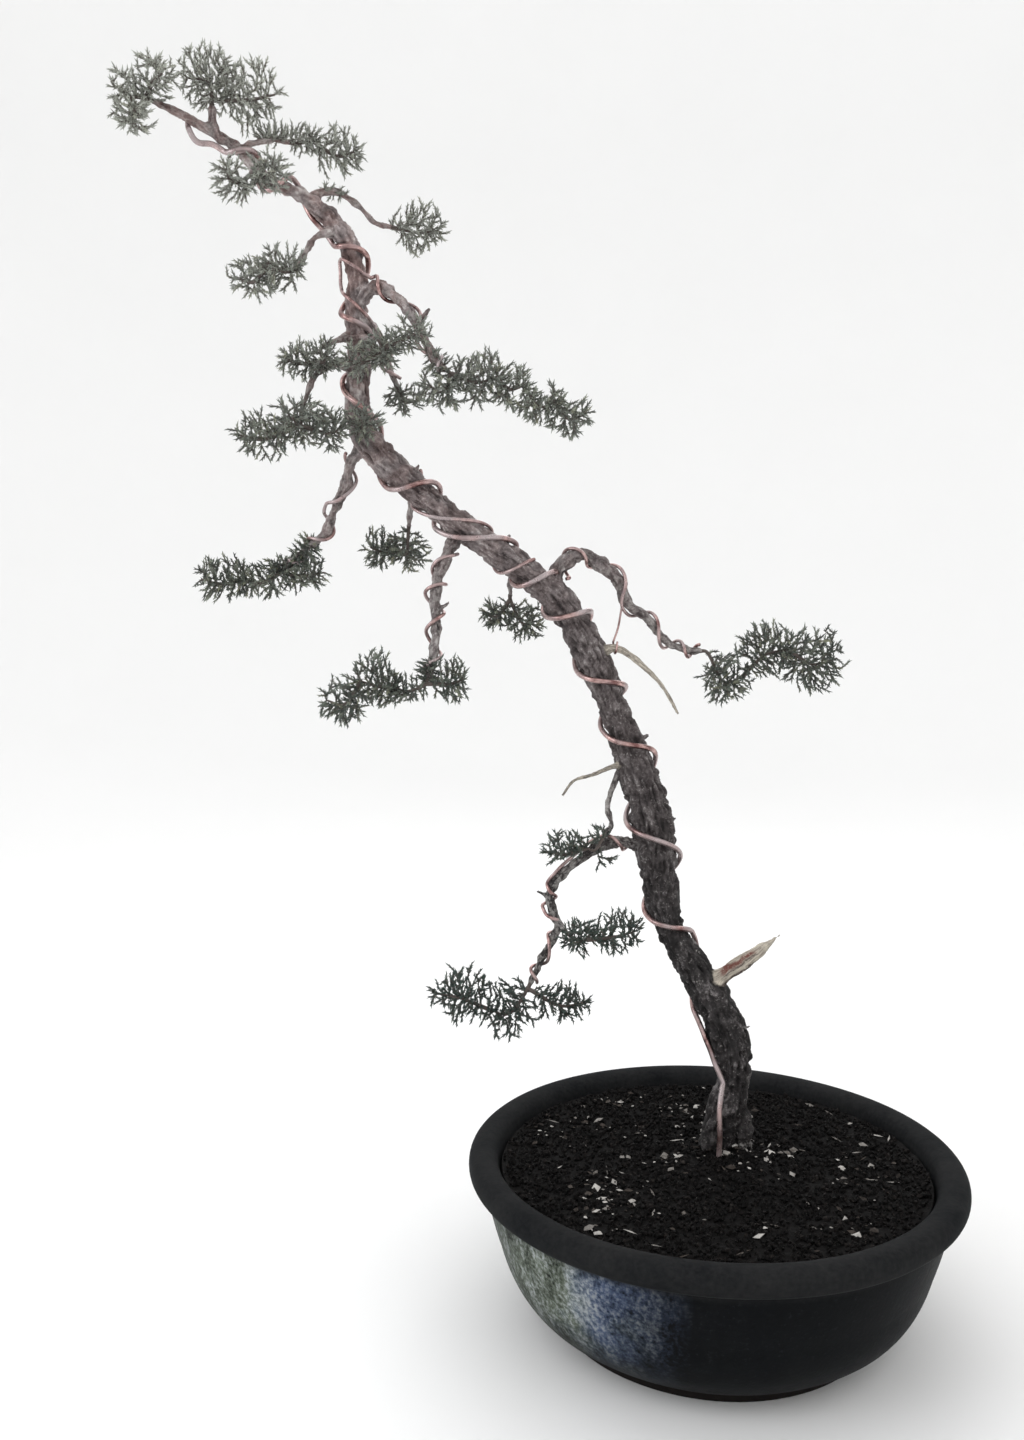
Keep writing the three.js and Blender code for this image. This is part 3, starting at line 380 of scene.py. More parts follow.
def woodLimbs():  # each limb's name, path, radii, and 1 if it is dead wood
    limbs = []
    for number, (name, points) in enumerate(wood.items()):
        steps = 8 if name == "trunk" else 6
        radii = radiiAlong(points, steps)
        lumps = np.array([noise.noise((k * bark["swellEvery"], number * 3.7, 0)) for k in range(len(radii))])
        radii = radii * (1 + bark["swell"] * lumps * (radii < bark["slimBelow"]))
        limbs.append((name, smoothPath(points, steps), radii, 0))
    others = [(name, points, 6, 1) for name, points in deadWood.items()] + [("snag", p, 4, 0) for p in snags]
    for name, points, steps, dead in others:
        limbs.append((name, smoothPath(points, steps), radiiAlong(points, steps), dead))
    for aside, first, last, radius in splinters:
        shares = np.linspace(first, last, 9)[:, None]
        thin = np.sin(np.linspace(0.35, np.pi - 0.12, 9))
        drift = flakeSide * aside * (1 - 0.55 * shares)
        limbs.append(("flake", flakeRoot + (flakeTip - flakeRoot) * shares + drift, radius * thin, 1))
    return limbs


def skinOver(parts):  # one closed skin round all: its vertices, their normals and its faces
    verts, faces, _ = gather(parts)
    rough = meshPiece("tree_rough", verts, faces, bpy.data.materials.new("rough"), None)
    skin = rough.modifiers.new("skin", "REMESH")
    skin.mode, skin.voxel_size = "VOXEL", bark["voxel"] * mm
    soften = rough.modifiers.new("soften", "SMOOTH")
    soften.factor, soften.iterations = 0.5, 1
    mesh = applied(rough)
    bpy.data.objects.remove(rough)
    count = len(mesh.vertices)
    verts, normal = np.zeros(count * 3, np.float32), np.zeros(count * 3, np.float32)
    mesh.vertices.foreach_get("co", verts)
    mesh.vertex_normals.foreach_get("vector", normal)
    faces = [tuple(p.vertices) for p in mesh.polygons]
    bpy.data.meshes.remove(mesh)
    return (verts.reshape(-1, 3) - potAxis) / mm, normal.reshape(-1, 3), faces


def sampleLimbs(limbs):  # for each step: place, three axes, length so far, radius and kind
    rows, first = [], 0.0
    for name, path, radii, dead in limbs:
        tangents, normals, across = framesAlong(path)
        along = first + np.concatenate([[0], np.cumsum(norm(np.diff(path, axis=0), axis=1))])
        first += bark["apart"]
        kind = (dead, name == "flake", weathered.get(name, 0))
        for k in range(len(path)):
            rows.append((*path[k], *tangents[k], *normals[k], *across[k], along[k], radii[k], *kind))
    return np.array(rows, np.float32)


def nearestRows(verts, rows, batch=3000):  # the row whose bark is nearest to each vertex
    nearest = np.zeros(len(verts), int)
    for a in range(0, len(verts), batch):
        away = norm(verts[a:a + batch, None] - rows[None, :, :3], axis=2) - rows[None, :, 13]
        nearest[a:a + batch] = away.argmin(1)
    return rows[nearest]


def repeated(kind, spot):
    across, along, start = barkRepeats[kind]
    return noise.noise((spot[0] * across, spot[1] * across, spot[2] * along + start))


def barkRelief(grain, verts, radius, dead):  # each spot's lightness, and how far it stands out
    light, lift = np.zeros(len(verts)), np.zeros(len(verts))
    for i, (spot, place) in enumerate(zip(grain.tolist(), verts.tolist())):
        lump, flakeUp = repeated("lump", spot), repeated("flake", spot)
        ridge = 1 - abs(repeated("ridge", spot)) * 2.6
        knob = noise.noise([c * bark["knobScale"] for c in place]) - 0.1
        share = bark["deadShare"] if dead[i] else 1.0
        # lighter on the ridges and flakes that stand out and darker in the furrows between: partly painted
        # shade in the furrows
        light[i] = min(max(0.45 + 0.4 * ridge + 0.3 * flakeUp, 0), 1)
        lift[i] = share * (radius[i] + 1.5) * (
            bark["lift"] + bark["lumps"] * lump + bark["ridges"] * (ridge - 0.7) * 0.6
            + bark["flakes"] * flakeUp + bark["knobs"] * knob)
    deepest = np.minimum(bark["deepest"], radius * 0.35)
    return light, np.clip(lift, -deepest, bark["proud"])


def within(value, low, high, soft):  # 1 between low and high, and 0 at both ends
    return np.clip(np.minimum(value - low, high - value) / soft, 0, 1)


def flakePattern(verts, onFlake):  # the broken flake's red vein, and a painted shadow: a dark line beside the vein and along its far edge
    out = verts - flakeRoot
    share = out @ flakeWay / norm(flakeTip - flakeRoot)
    aside = out @ flakeSide
    aside = aside + np.sin(share * 21) * 0.35 + np.sin(share * 47 + 1) * 0.2
    vein = onFlake * within(share, 0.06, 0.7, 0.08) * within(aside, 0.3, 4.6 - 3.2 * share, 0.7)
    # painted shadow: a dark line beside the vein, and the far edge darkened
    line = within(aside, -0.7, 0.5, 0.4) * within(share, 0.04, 0.74, 0.1)
    side = np.clip(-aside - 2.2, 0, 1) * within(share, -0.1, 0.6, 0.1)
    return vein, onFlake * np.maximum(line, side)


def growWood():
    limbs = woodLimbs()
    solids = [sweep(path, radii, 20 if radii[0] > bark["slimBelow"] else 12, 0.6 if name == "flake" else 1.0)
              for name, path, radii, _ in limbs]
    verts, normal, faces = skinOver(solids)
    near = nearestRows(verts, sampleLimbs(limbs))
    off = verts - near[:, :3]
    angle = np.arctan2((off * near[:, 9:12]).sum(1), (off * near[:, 6:9]).sum(1))
    along = near[:, 12] + (off * near[:, 3:6]).sum(1)
    radius, dead, onFlake, worn = near[:, 13:17].T
    turn = np.stack([np.cos(angle), np.sin(angle)], 1) * np.maximum(radius, 2)[:, None]
    grain = np.column_stack([turn * 0.1, along * 0.1])
    relief, lift = barkRelief(grain, verts, radius, dead)
    verts = verts + normal * lift[:, None]
    vein, edge = flakePattern(verts, onFlake)
    rise = np.clip((verts[:, 2] - bark["paleFrom"]) / bark["paleOver"], 0, 1)
    slim = np.clip((bark["slimBelow"] - radius) / 2, 0, 1) * (1 - 0.35 * rise)
    print("tree:", len(faces), "faces")
    meshPiece("tree_skin", verts, faces, finish("bark", barkPaint), "tree", True,
              {"grain": grain, "dead": dead, "relief": relief, "vein": vein, "edge": edge, "rise": rise,
               "worn": worn, "slim": slim})


growWood()

# Copper wire
copper = {"bright": (0.67, 0.46, 0.43), "brown": (0.17, 0.085, 0.08), "grey": (0.38, 0.32, 0.32)}


def turns(first, step, places):  # stations at even steps of the turn; a pair gives the lift too
    pairs = [p if isinstance(p, tuple) else (p, 0) for p in places]
    return [(place, first + step * k, lift) for k, (place, lift) in enumerate(pairs)]


# Each wire's limb, radius and stations: place on the limb, turn round it in degrees, and lift
wire = {
    "trunk_wire": ("trunk", 1.5, [
        (1.2, 130), (2, 160), (4, 185),
        *turns(360, 180, [6.1, 7.2, 8.5, 9.6, 11.1, 12.1, 12.8, 13.5, 14.5, 15.05, 15.5, 16, 16.5, 18.2, 18.8,
                          19.6, 21, 22.4]),
        *turns(3510, 90, [22.9, 23.38, 23.72, 24.05, 24.8, 25.55, 25.9, 26.2]), (26.6, 4160), (27.2, 4160),
        *turns(4230, 90, [27.75, 28.25, 28.6, 28.95, 29.3, 29.65, 29.95, 30.3]), (30.75, 4865),
        (30.9, 4865, 2.2), (31, 4865, 3.4), (31.15, 4865, 3.6), (31.3, 4865, 2.4), (31.42, 4870, 0.2),
        (31.55, 4960)]),
    "upper_wire": ("trunk", 1, [(16, 2190), (16.6, 2370), (17.2, 2520), (18.9, 2700), (19.3, 2880)]),
    "left_low_wire": ("left_low", 1, [
        (0.8, 380), (1.3, 270), (1.75, 180, 1), (2.55, 90, 0.3), (2.9, 0, 1.2), (3.25, -20, 1.6),
        *turns(-90, -90, [3.6, 3.95, 4.35, 4.8, 5.3, 5.7, 6.2, 6.7])]),
    "hanging_wire": ("hanging", 1, turns(540, -90, [
        0.9, 1.3, 1.7, 2, 2.2, 2.38, (2.6, 1.8), 3, 3.3, 3.6, (3.9, 1.2), 4.3, 4.55, 4.8, 5.05, 5.4, 5.7])),
    "right_low_wire": ("right_low", 1, [(0.9, 720), (1.35, 715, 2.2), *turns(630, -90, [
        1.8, 2.2, 2.8, 3.4, 4, (4.6, 0.4), 5.5, 6.34, 6.8, 7.1, 7.6, 8.1, 8.4, 8.65, 8.95, 9.3, 9.6, 9.9])]),
    "right_upper_wire": ("right_upper", 1, [
        (1.5, 190), (1.85, 175), *turns(90, -90, [2.3, 2.85, 3.3, 4.2, 4.6, 5, 5.5, 6.1, 6.5]), (6.8, -700)]),
    "cascade_wire": ("left_cascade", 1, [
        (1.4, 230), (1.7, 180), (2.1, 110), (2.6, 20), (3.2, 0), (4.2, 20), (5.2, 25), (5.6, 10),
        *turns(90, 90, [5.95, 6.25, 6.5, (6.7, 0.8)]), (7.3, 400, 0.8), (8, 500),
        *turns(630, 90, [8.5, 8.9, 9.5, 10.1, 10.5, 10.9, 11.3, 11.7])]),
}
wireFeet = {  # the points before the first station
    "trunk_wire": [(4, 0, 66), (4, 0, 84), (4.5, 0.5, 98), (4.5, 2.5, 110)],
    "right_upper_wire": [
        (-170.8, 4.5, 511.4), (-175.8, 0.2, 513.5), (-180.7, 3.6, 517), (-177.5, 7.7, 521),
        (-175.5, 2.6, 526), (-180, -0.4, 531.5), (-183.6, -1.2, 537), (-187.2, -4.8, 541.4),
        (-193, -7.2, 547), (-198.7, -5, 552.2), (-200.9, -1.6, 555.5), (-201.8, -0.6, 560),
        (-201.8, -0.5, 565), (-201.9, -1.4, 571), (-199.7, -6.2, 570.5), (-194.2, -7.7, 567),
        (-188.9, -5.3, 563.5)],
}
tie = {"radius": 0.6, "sides": 8, "points": [(-49.8, 22, 389.9), (-52, 20, 378)],
       "loopAt": (-55, 16, 367), "loopRadius": 3.1, "loopFrom": 90, "loopTurn": 400, "loopStep": 20,
       "loopPitch": 0.12, "loopBack": 0.2}
winding = {"fine": 24, "sides": 10, "barkShare": 1.05, "clear": 0.2}


def copperPaint(start):
    place = placeOf(start)
    worn = place.noise(160, 4, 0.6).between(0.38, 0.72)
    dull = place.noise(45, 3).between(0.4, 0.65)
    colour = dull.pick(worn.pick(copper["brown"], copper["bright"]), copper["grey"])
    return {"Base Color": colour, "Metallic": 0.95 - dull * 0.4,
            "Roughness": place.noise(220, 3) * 0.25 + 0.16, "Normal": place.noise(500, 2).bump(0.15, 0.0004)}


def roundedRows(stations, step=6.0, perPlace=14, width=9):  # stations in fine steps, without corners
    rows = np.array([(*row, 0.0)[:3] for row in stations], float)
    change = np.abs(np.diff(rows, axis=0))
    steps = np.maximum(np.ceil(np.maximum(change[:, 1] / step, change[:, 0] * perPlace)), 2)
    marks = np.concatenate([[0], np.cumsum(steps)])
    fine = rowsAt(np.arange(marks[-1] + 1), marks, rows)
    padded = np.vstack([fine[:1]] * width + [fine] + [fine[-1:]] * width)
    kernel = np.hanning(width + 2)[1:-1]
    kernel = kernel / kernel.sum()
    soft = np.stack([np.convolve(padded[:, k], kernel, "same") for k in range(3)], 1)
    return soft[width:-width]


def windWire(name, on, radius, stations):
    points, fine = wood[on], winding["fine"]
    path, radii = smoothPath(points, fine), radiiAlong(points, fine)
    rows, degrees, lift = roundedRows(stations).T
    places, angle = rows * fine, np.radians(degrees)
    marks, tangents = np.arange(len(path)), unit(np.gradient(path, axis=0))
    centre, tangent = rowsAt(places, marks, path), unit(rowsAt(places, marks, tangents))
    right = unit(np.cross([0, 1, 0], tangent))
    front = unit(np.cross(right, tangent))
    bare = np.interp(places, marks, radii) * winding["barkShare"]
    reach = bare + radius + winding["clear"] + lift
    coil = centre + right * (reach * np.cos(angle))[:, None] + front * (reach * np.sin(angle))[:, None]
    if name in wireFeet:
        coil = np.vstack([smoothPath([*wireFeet[name], coil[0]], 6)[:-1], coil])
    verts, faces = sweep(coil, radius, winding["sides"])
    meshPiece(name + "_round", verts, faces, metal, name)


def tieTwig():  # the thin tie goes once round the stripped twig that it pulls on
    first = tie["loopFrom"]
    turn = np.radians(np.arange(first, tie["loopTurn"] + first, tie["loopStep"]))
    along = turn * tie["loopPitch"] - tie["loopBack"]
    circle = np.stack([along, -np.cos(turn), np.sin(turn)], 1)
    ring = np.array(tie["loopAt"]) + tie["loopRadius"] * circle
    path = np.vstack([smoothPath(tie["points"] + [tuple(ring[0])], 6)[:-1], ring])
    verts, faces = sweep(path, tie["radius"], tie["sides"])
    meshPiece("guy_wire_round", verts, faces, metal, "guy_wire")


metal = finish("copper", copperPaint)
for name, (on, radius, stations) in wire.items():
    windWire(name, on, radius, stations)
tieTwig()
print("wires wound")

# Foliage
sprays = {
    "crown_left": [(-299, -42, 640, 12, 18, 14), (-286, -44, 646, 13, 15, 12),
        (-296, -47, 627, 13, 14, 9)],
    "crown": [(-263, -28, 653, 18, 22, 18), (-243, -26, 646, 19, 22, 20)],
    "right_crown": [(-219, -5, 632, 11, 14, 9), (-202, -4, 626, 15, 18, 14)],
    "front_high": [(-246, -50, 595, 13, 14, 12), (-230, -50, 599, 14, 14, 11)],
    "right_high": [(-162, 25, 597, 18, 20, 16)],
    "left_high": [(-226, -37, 557, 15, 16, 13), (-240, -39, 551, 14, 16, 12)],
    "left_knot": [(-208, -21, 516, 11, 13, 12), (-221, -22, 515, 12, 15, 12)],
    "right_knot": [(-177, -24, 520, 12, 14, 12), (-163, -35, 525, 13, 14, 12),
        (-190, -29, 513, 11, 11, 11)],
    "right_inner": [(-168, 4, 500, 13, 14, 9)],
    "right_upper": [(-146, -30, 499, 15, 19, 13), (-128, -31, 504, 16, 20, 16),
        (-112, -32, 500, 14, 16, 13), (-97, -33, 491, 15, 18, 12),
        (-82, -33, 485, 14, 16, 13)],
    "left_mid": [(-219, -31, 482, 18, 20, 15), (-238, -32, 475, 18, 20, 14),
        (-203, -32, 478, 11, 14, 13)],
    "tuft": [(-188, -25, 482, 13, 11, 12)],
    "left_low": [(-229, 24, 409, 20, 20, 13), (-251, 25, 405, 18, 21, 13),
        (-273, 25, 405, 18, 21, 16)],
    "under_fork": [(-170, 27, 421, 16, 19, 14), (-185, 28, 423, 13, 16, 13)],
    "hanging": [(-165, -28, 346, 12, 14, 9), (-181, -29, 350, 15, 19, 18),
        (-198, -29, 340, 16, 20, 15), (-142, -30, 351, 13, 15, 14)],
    "under_bend": [(-104, 34, 382, 14, 16, 14), (-120, 34, 386, 12, 14, 11)],
    "right_low": [(10, 34, 350, 18, 19, 18), (33, 31, 366, 20, 21, 19),
        (59, 30, 361, 23, 23, 22)],
    "left_shelf": [(-65, 10, 257, 15, 14, 14), (-82, 6, 255, 14, 15, 14)],
    "cascade_side": [(-74, -15, 212, 13, 14, 12), (-54, -16, 215, 16, 16, 14)],
    "cascade": [(-113, 1, 168, 18, 20, 19), (-139, 0, 177, 20, 21, 18),
        (-84, 0, 172, 19, 16, 13)],
}
# Shoots that leave a branch before its spray
leafyStretch = {
    "right_crown": [(-235, -15, 631, 11, 9, 7)],
    "left_low": [(-225, 17, 421, 10, 9, 10), (-233, 21, 413, 9, 9, 8)],
    "right_high": [(-205, 1, 608, 9, 8, 5)],
    "hanging": [(-154, -25, 355, 8, 8, 8)],
    "right_upper": [(-149, -25, 513, 9, 8, 8)],
}
growsOn = {"crown_left": "trunk", "cascade": "left_cascade"}  # sprays that aren't named after their branch
# A spray behind another branch's line, seen from the front, and how far it keeps off it
keptOff = {"left_shelf": ("left_cascade", 5.5)}
leaf = {
    "seed": 101, "seedStep": 13,
    # each lobe's slim core
    "core": 1.3, "coreTip": 0.5, "coreTone": 0.3, "fringe": 7, "heartDrop": 0.15, "stemOut": 3,
    # where the shoots end: how close, how open, how ragged
    "tries": 4200, "most": 300, "reach": 0.95, "spacing": 2.9, "holeEvery": 0.11, "holes": -0.14,
    "skinEvery": 0.17, "skin": 0.7, "ragged": 0.5, "stray": 0.12,
    # where they start: fanned forwards, and not too near
    "forwards": 2, "fan": 7, "nearest": 3, "tooNear": 20,
    "shoot": 7.5, "wander": 0.08, "droop": 0.05, "twig": 0.5, "taper": (1.15, 0.85, 0.5),
    "needleEvery": 0.52, "needle": 2.3, "needleRadius": 0.5, "lean": 0.9, "closing": 1.6,
    "dark": (0.05, 0.055, 0.051), "green": (0.098, 0.113, 0.096), "light": (0.2, 0.222, 0.178),
    # crown is the painted pale haze of back light near the top, shade the painted shade low on the tree
    "dry": (0.27, 0.27, 0.175), "stem": (0.095, 0.076, 0.068), "crown": (0.45, 0.46, 0.41),
    "shade": (0.022, 0.044, 0.038),
}
goldenAngle = math.pi * (3 - math.sqrt(5))


def leafPaint(start):
    tone, stem, place = stored(start, "tone"), stored(start, "stem"), placeOf(start)
    mottle = place.noise(300, 3)
    green = (tone * 0.8 + mottle * 0.3).between(0.05, 1.0).tone(
        [(0.0, leaf["dark"]), (0.45, leaf["green"]), (0.85, leaf["light"]), (1.0, leaf["dry"])])
    # painted shade low on the tree, and a painted pale haze of back light towards its top
    height = place.axis(2)
    green = (height.between(0.4, 0.2) * 0.8).pick(green, leaf["shade"])
    green = (height.between(0.43, 0.67) * 0.74).pick(green, leaf["crown"])
    return {"Base Color": stem.pick(green, leaf["stem"]), "Roughness": mottle * 0.3 + 0.45,
            "Specular IOR Level": 0.35}


def shootTips(rng, middle, half, seed):  # spots spread in a lobe, ragged at its skin, with open holes
    tips = np.zeros((0, 3))
    for spot in rng.uniform(-1, 1, (leaf["tries"], 3)):
        away = norm(spot)
        if away > 1 or len(tips) >= leaf["most"]:
            continue
        place = middle + spot * half * leaf["reach"]
        if noise.noise((place * leaf["holeEvery"] + seed).tolist()) < leaf["holes"]:
            continue
        rough = noise.noise((place * leaf["skinEvery"] + seed + 7).tolist())
        if away > leaf["skin"] + leaf["ragged"] * rough and rng.uniform() > leaf["stray"]:
            continue
        if len(tips) and norm(tips - place, axis=1).min() < leaf["spacing"]:
            continue
        tips = np.vstack([tips, place])
    return tips


def clearOfBranch(name, tips):
    if name not in keptOff:
        return tips
    other, room = keptOff[name]
    line = smoothPath(wood[other], 8)[:, [0, 2]]
    return tips[[norm(line - tip[[0, 2]], axis=1).min() > room for tip in tips]]


def makeShoot(rng, root, tip):  # a twig's upper part, and the solids of it and its needles
    along = tip - root
    length = norm(along)
    bend = rng.normal(size=3) * leaf["wander"] * length + np.array([0, 0, -leaf["droop"] * length])
    shares = np.array([0, 0.5, 1.0])[:, None]
    twig = root + along * shares + bend * shares * (1 - shares) * 2
    leafy = min(1.0, leaf["shoot"] * rng.uniform(0.8, 1.1) / length)
    many = max(6, int(leafy * length / leaf["needleEvery"]))
    starts = np.linspace(1 - leafy, 1.0, many)
    roots = rowsAt(starts, shares[:, 0], twig)
    forward = unit(twig[2] - twig[1])
    side = unit(np.cross(forward, [0.7, 0.1, 0.4]))
    spin = goldenAngle * np.arange(many) + rng.uniform(0, 6)
    outward = np.cos(spin)[:, None] * side + np.sin(spin)[:, None] * np.cross(forward, side)
    lean = leaf["lean"] + leaf["closing"] * np.linspace(0, 1, many) ** 3 + rng.uniform(0, 0.5, many)
    lengths = leaf["needle"] * rng.uniform(0.75, 1.15, many) * np.linspace(0.9, 1.1, many)
    radii = np.full(many, leaf["needleRadius"])
    needles = spikes(roots, outward + forward * lean[:, None], lengths, radii)
    return twig[1:], sweep(twig, leaf["twig"] * np.array(leaf["taper"]), 3), needles


def growSpray(name, seed, green):
    rng = np.random.default_rng(seed)
    path = smoothPath(wood[growsOn.get(name, name)], 8)
    end, heading = path[-1], unit(path[-1] - path[-2])
    joints = [end + heading * leaf["stemOut"]]
    parts = []  # each solid with its tone, and 1 if it is a stem

    def growShoot(root, tip):
        tone = rng.uniform(0.1, 1.0)
        upper, twig, needles = makeShoot(rng, root, tip)
        parts.extend([(twig, tone, 1), (needles, tone, 0)])
        return upper

    for number, lobe in enumerate(sprays[name]):
        middle, half = np.split(np.array(lobe, float), 2)
        joint = min(joints, key=lambda j: norm(j - middle))
        forward = unit((middle - joint) * (1, 1, 0))
        heart = middle - np.array([0, 0, leaf["heartDrop"] * half[2]])
        far = heart + forward * max(half[0] - leaf["fringe"], 2)
        far[2] = middle[2]
        joints += [heart, far]
        spine = smoothPath(([end - heading] if number == 0 else []) + [joint, heart, far], 8)
        thin = np.linspace(leaf["core"], leaf["coreTip"], len(spine))
        parts.append((sweep(spine, thin, 6), leaf["coreTone"], 1))
        bones = spine[8:] if number == 0 else spine
        tips = clearOfBranch(name, shootTips(rng, middle, half, seed))
        gaps = norm(tips[:, None] - bones[None], axis=2)
        outward = unit(tips - bones[gaps.argmin(1)] + forward * leaf["forwards"])
        for k in np.argsort(gaps.min(1)):
            way = tips[k] - bones
            away = norm(way, axis=1)
            cost = away + leaf["fan"] * (1 - way @ outward[k] / away)
            cost += leaf["tooNear"] * (away < leaf["nearest"])
            bones = np.vstack([bones, growShoot(bones[cost.argmin()], tips[k])])
    for lobe in leafyStretch.get(name, []):
        for tip in shootTips(rng, *np.split(np.array(lobe, float), 2), seed + 3):
            away = norm(path - tip, axis=1)
            if away.min() > leaf["nearest"]:
                growShoot(path[away.argmin()], tip)
    solids, tones, stems = zip(*parts)
    verts, faces, owner = gather(solids)
    meshPiece(f"foliage_{name}", verts, faces, green, f"spray_{name}", False,
              {"tone": np.array(tones)[owner], "stem": np.array(stems)[owner]})
    return len(faces)


green = finish("needles", leafPaint)
grown = [growSpray(name, leaf["seed"] + leaf["seedStep"] * k, green) for k, name in enumerate(sprays)]
print("foliage:", sum(grown), "faces")

# Pot
pot = {
    "rim": 135, "height": 90, "foot": 88, "footWidth": 9, "footHeight": 7, "floor": 15, "drain": 14,
    "segments": 144, "belly": (118.5, 44), "neck": 126,
    # the uneven wall: how much, and how often round the pot
    "wobble": [(0.0016, 3), (0.0008, 7)], "wobbleFrom": 60,
    "glaze": (0.0025, 0.003, 0.0035), "blue": (0.15, 0.205, 0.355), "green": (0.2, 0.235, 0.18),
    "pale": (0.43, 0.46, 0.47), "sheen": (0.022, 0.024, 0.028), "lipDark": (0.006, 0.007, 0.008),
    "lip": (0.022, 0.022, 0.022), "clay": (0.015, 0.013, 0.012),
}
innerWall = {"top": 120, "bottom": 89, "bulge": 0.4, "levels": (80, 70, 60, 50, 37, 24, 18)}
notch = {"turns": (80, 200, 320), "long": 14, "wide": 8, "high": 4}  # in degrees, and half sizes


def innerRadius(level):
    share = (level - pot["floor"]) / (pot["height"] - pot["floor"])
    return innerWall["bottom"] + (innerWall["top"] - innerWall["bottom"]) * share ** innerWall["bulge"]


def bow(a, control, b, steps):
    t = np.linspace(0, 1, steps + 1)[:, None]
    return ((1 - t) ** 2 * np.array(a) + 2 * t * (1 - t) * np.array(control) + t ** 2 * np.array(b)).tolist()


def turnedBody(profile, segments):
    away, level = np.array(profile, float).T[:, :, None]
    angle = 2 * np.pi * np.arange(segments) / segments
    verts = np.stack([away * np.cos(angle), away * np.sin(angle),
                      np.broadcast_to(level, (len(profile), segments))], -1)
    return verts.reshape(-1, 3), ringFaces(len(profile), segments, True)


def glazePaint(start):
    place = placeOf(start)
    height, across = place.axis(2), place.axis(0) - float(potAxis[0])
    streaks = (place * (1, 1, 0.22)).noise(70, 6, 0.62, 0.4)
    mottle = place.noise(28, 5, 0.6)
    fine = place.noise(420, 3, 0.6)
    onBody = 1.0 - height.between(0.07, 0.076)
    # the pale blue-green run of glaze under the lip, on the left of the front and on behind it: partly the
    # glaze's own streaks, partly a painted reflection of the window light on the left
    paleRunAndReflection = across.between(-0.028, -0.088) * across.between(-0.128, -0.106) * height.between(0.01, 0.044)
    pooled = (streaks * 0.45 + mottle * 0.3 + fine * 0.45).between(0.47, 0.72)
    leftward = across.between(-0.068, -0.108) * 0.5 + place.noise(40, 4) * 0.8
    tint = leftward.between(0.36, 0.66).pick(pot["blue"], pot["green"])
    tint = (fine * 0.6 + streaks * 0.5).between(0.52, 0.7).pick(tint, pot["pale"])
    # the tint shows almost only in the left-hand run: glaze streaks with a painted reflection of the window
    # light
    body = (pooled * (paleRunAndReflection * 0.91 + 0.006)).pick(pot["glaze"], tint)
    body = (fine.between(0.6, 0.76) * 0.3).pick(body, pot["sheen"])
    lip = (mottle * 0.6 + fine * 0.5).between(0.35, 0.8).pick(pot["lipDark"], pot["lip"])
    foot = height.between(0.006, 0.01)
    relief = streaks * 0.4 + mottle * 0.5 + fine * 0.2
    return {"Base Color": foot.pick(pot["clay"], onBody.pick(lip, body)),
            "Roughness": onBody * -0.16 + 0.6 + fine * 0.16, "Specular IOR Level": 0.03,
            "Coat Weight": onBody * foot * 0.035, "Coat Roughness": 0.14, "Normal": relief.bump(0.4, 0.0015)}


def potOutline():  # from the drain hole round the foot, the wall and the lip to the floor
    rim, high, foot, low = pot["rim"], pot["height"], pot["foot"], pot["footHeight"]
    inner, belly, drain = foot - pot["footWidth"], pot["belly"], pot["drain"]
    outline = [(drain, low), (inner, low), (inner, 1.0), (inner + 1, 0)]
    outline += [(foot - 1, 0), (foot, 1.0), (foot, low)]
    outline += bow((foot + 6, low + 1), (112, 18), belly, 14)
    outline += bow(belly, (124, 60), (pot["neck"], high - 16), 10)[1:]
    outline += bow((rim - 7, high - 14.5), (rim, high - 13), (rim, high - 7), 8)
    outline += bow((rim, high - 7), (rim, high), (rim - 7, high), 8)[1:]
    outline += bow((rim - 7, high), (121, high), (119, high - 5), 8)[1:]
    outline += [(innerRadius(level), level) for level in (*innerWall["levels"], pot["floor"])]
    return outline + [(drain, pot["floor"])]


def notchCutter():  # three blocks that stand where the foot ring is cut through
    blocks, faces = [], [(0, 1, 3, 2), (4, 6, 7, 5), (0, 4, 5, 1), (2, 3, 7, 6), (0, 2, 6, 4), (1, 5, 7, 3)]
    for a in map(math.radians, notch["turns"]):
        along, across = np.array([math.cos(a), math.sin(a), 0]), np.array([-math.sin(a), math.cos(a), 0])
        middle = along * (pot["foot"] - pot["footWidth"] / 2)
        corners = [middle + along * sx * notch["long"] + across * sy * notch["wide"]
                   + np.array([0, 0, sz * notch["high"]])
                   for sx in (-1, 1) for sy in (-1, 1) for sz in (-1, 1)]
        blocks.append((np.array(corners), faces))
    verts, faces, _ = gather(blocks)
    return meshPiece("notches", verts, faces, bpy.data.materials.new("none"), None, False)


def throwPot():
    verts, faces = turnedBody(potOutline(), pot["segments"])
    away = norm(verts[:, :2], axis=1)
    turn = np.arctan2(verts[:, 1], verts[:, 0])
    (slow, few), (quick, many) = pot["wobble"]
    wobble = 1 + slow * np.sin(few * turn + 1) + quick * np.sin(many * turn + verts[:, 2] * 0.05)
    verts[:, :2] *= np.where(away > pot["wobbleFrom"], wobble, 1)[:, None]
    body = meshPiece("pot_glazed", verts, faces, finish("glaze", glazePaint), "pot")
    cutter = notchCutter()
    cut = body.modifiers.new("notches", "BOOLEAN")
    cut.object, cut.solver = cutter, "EXACT"
    mesh = applied(body)
    body.modifiers.clear()
    body.data = mesh
    bpy.data.objects.remove(cutter)
    print("pot thrown")


throwPot()

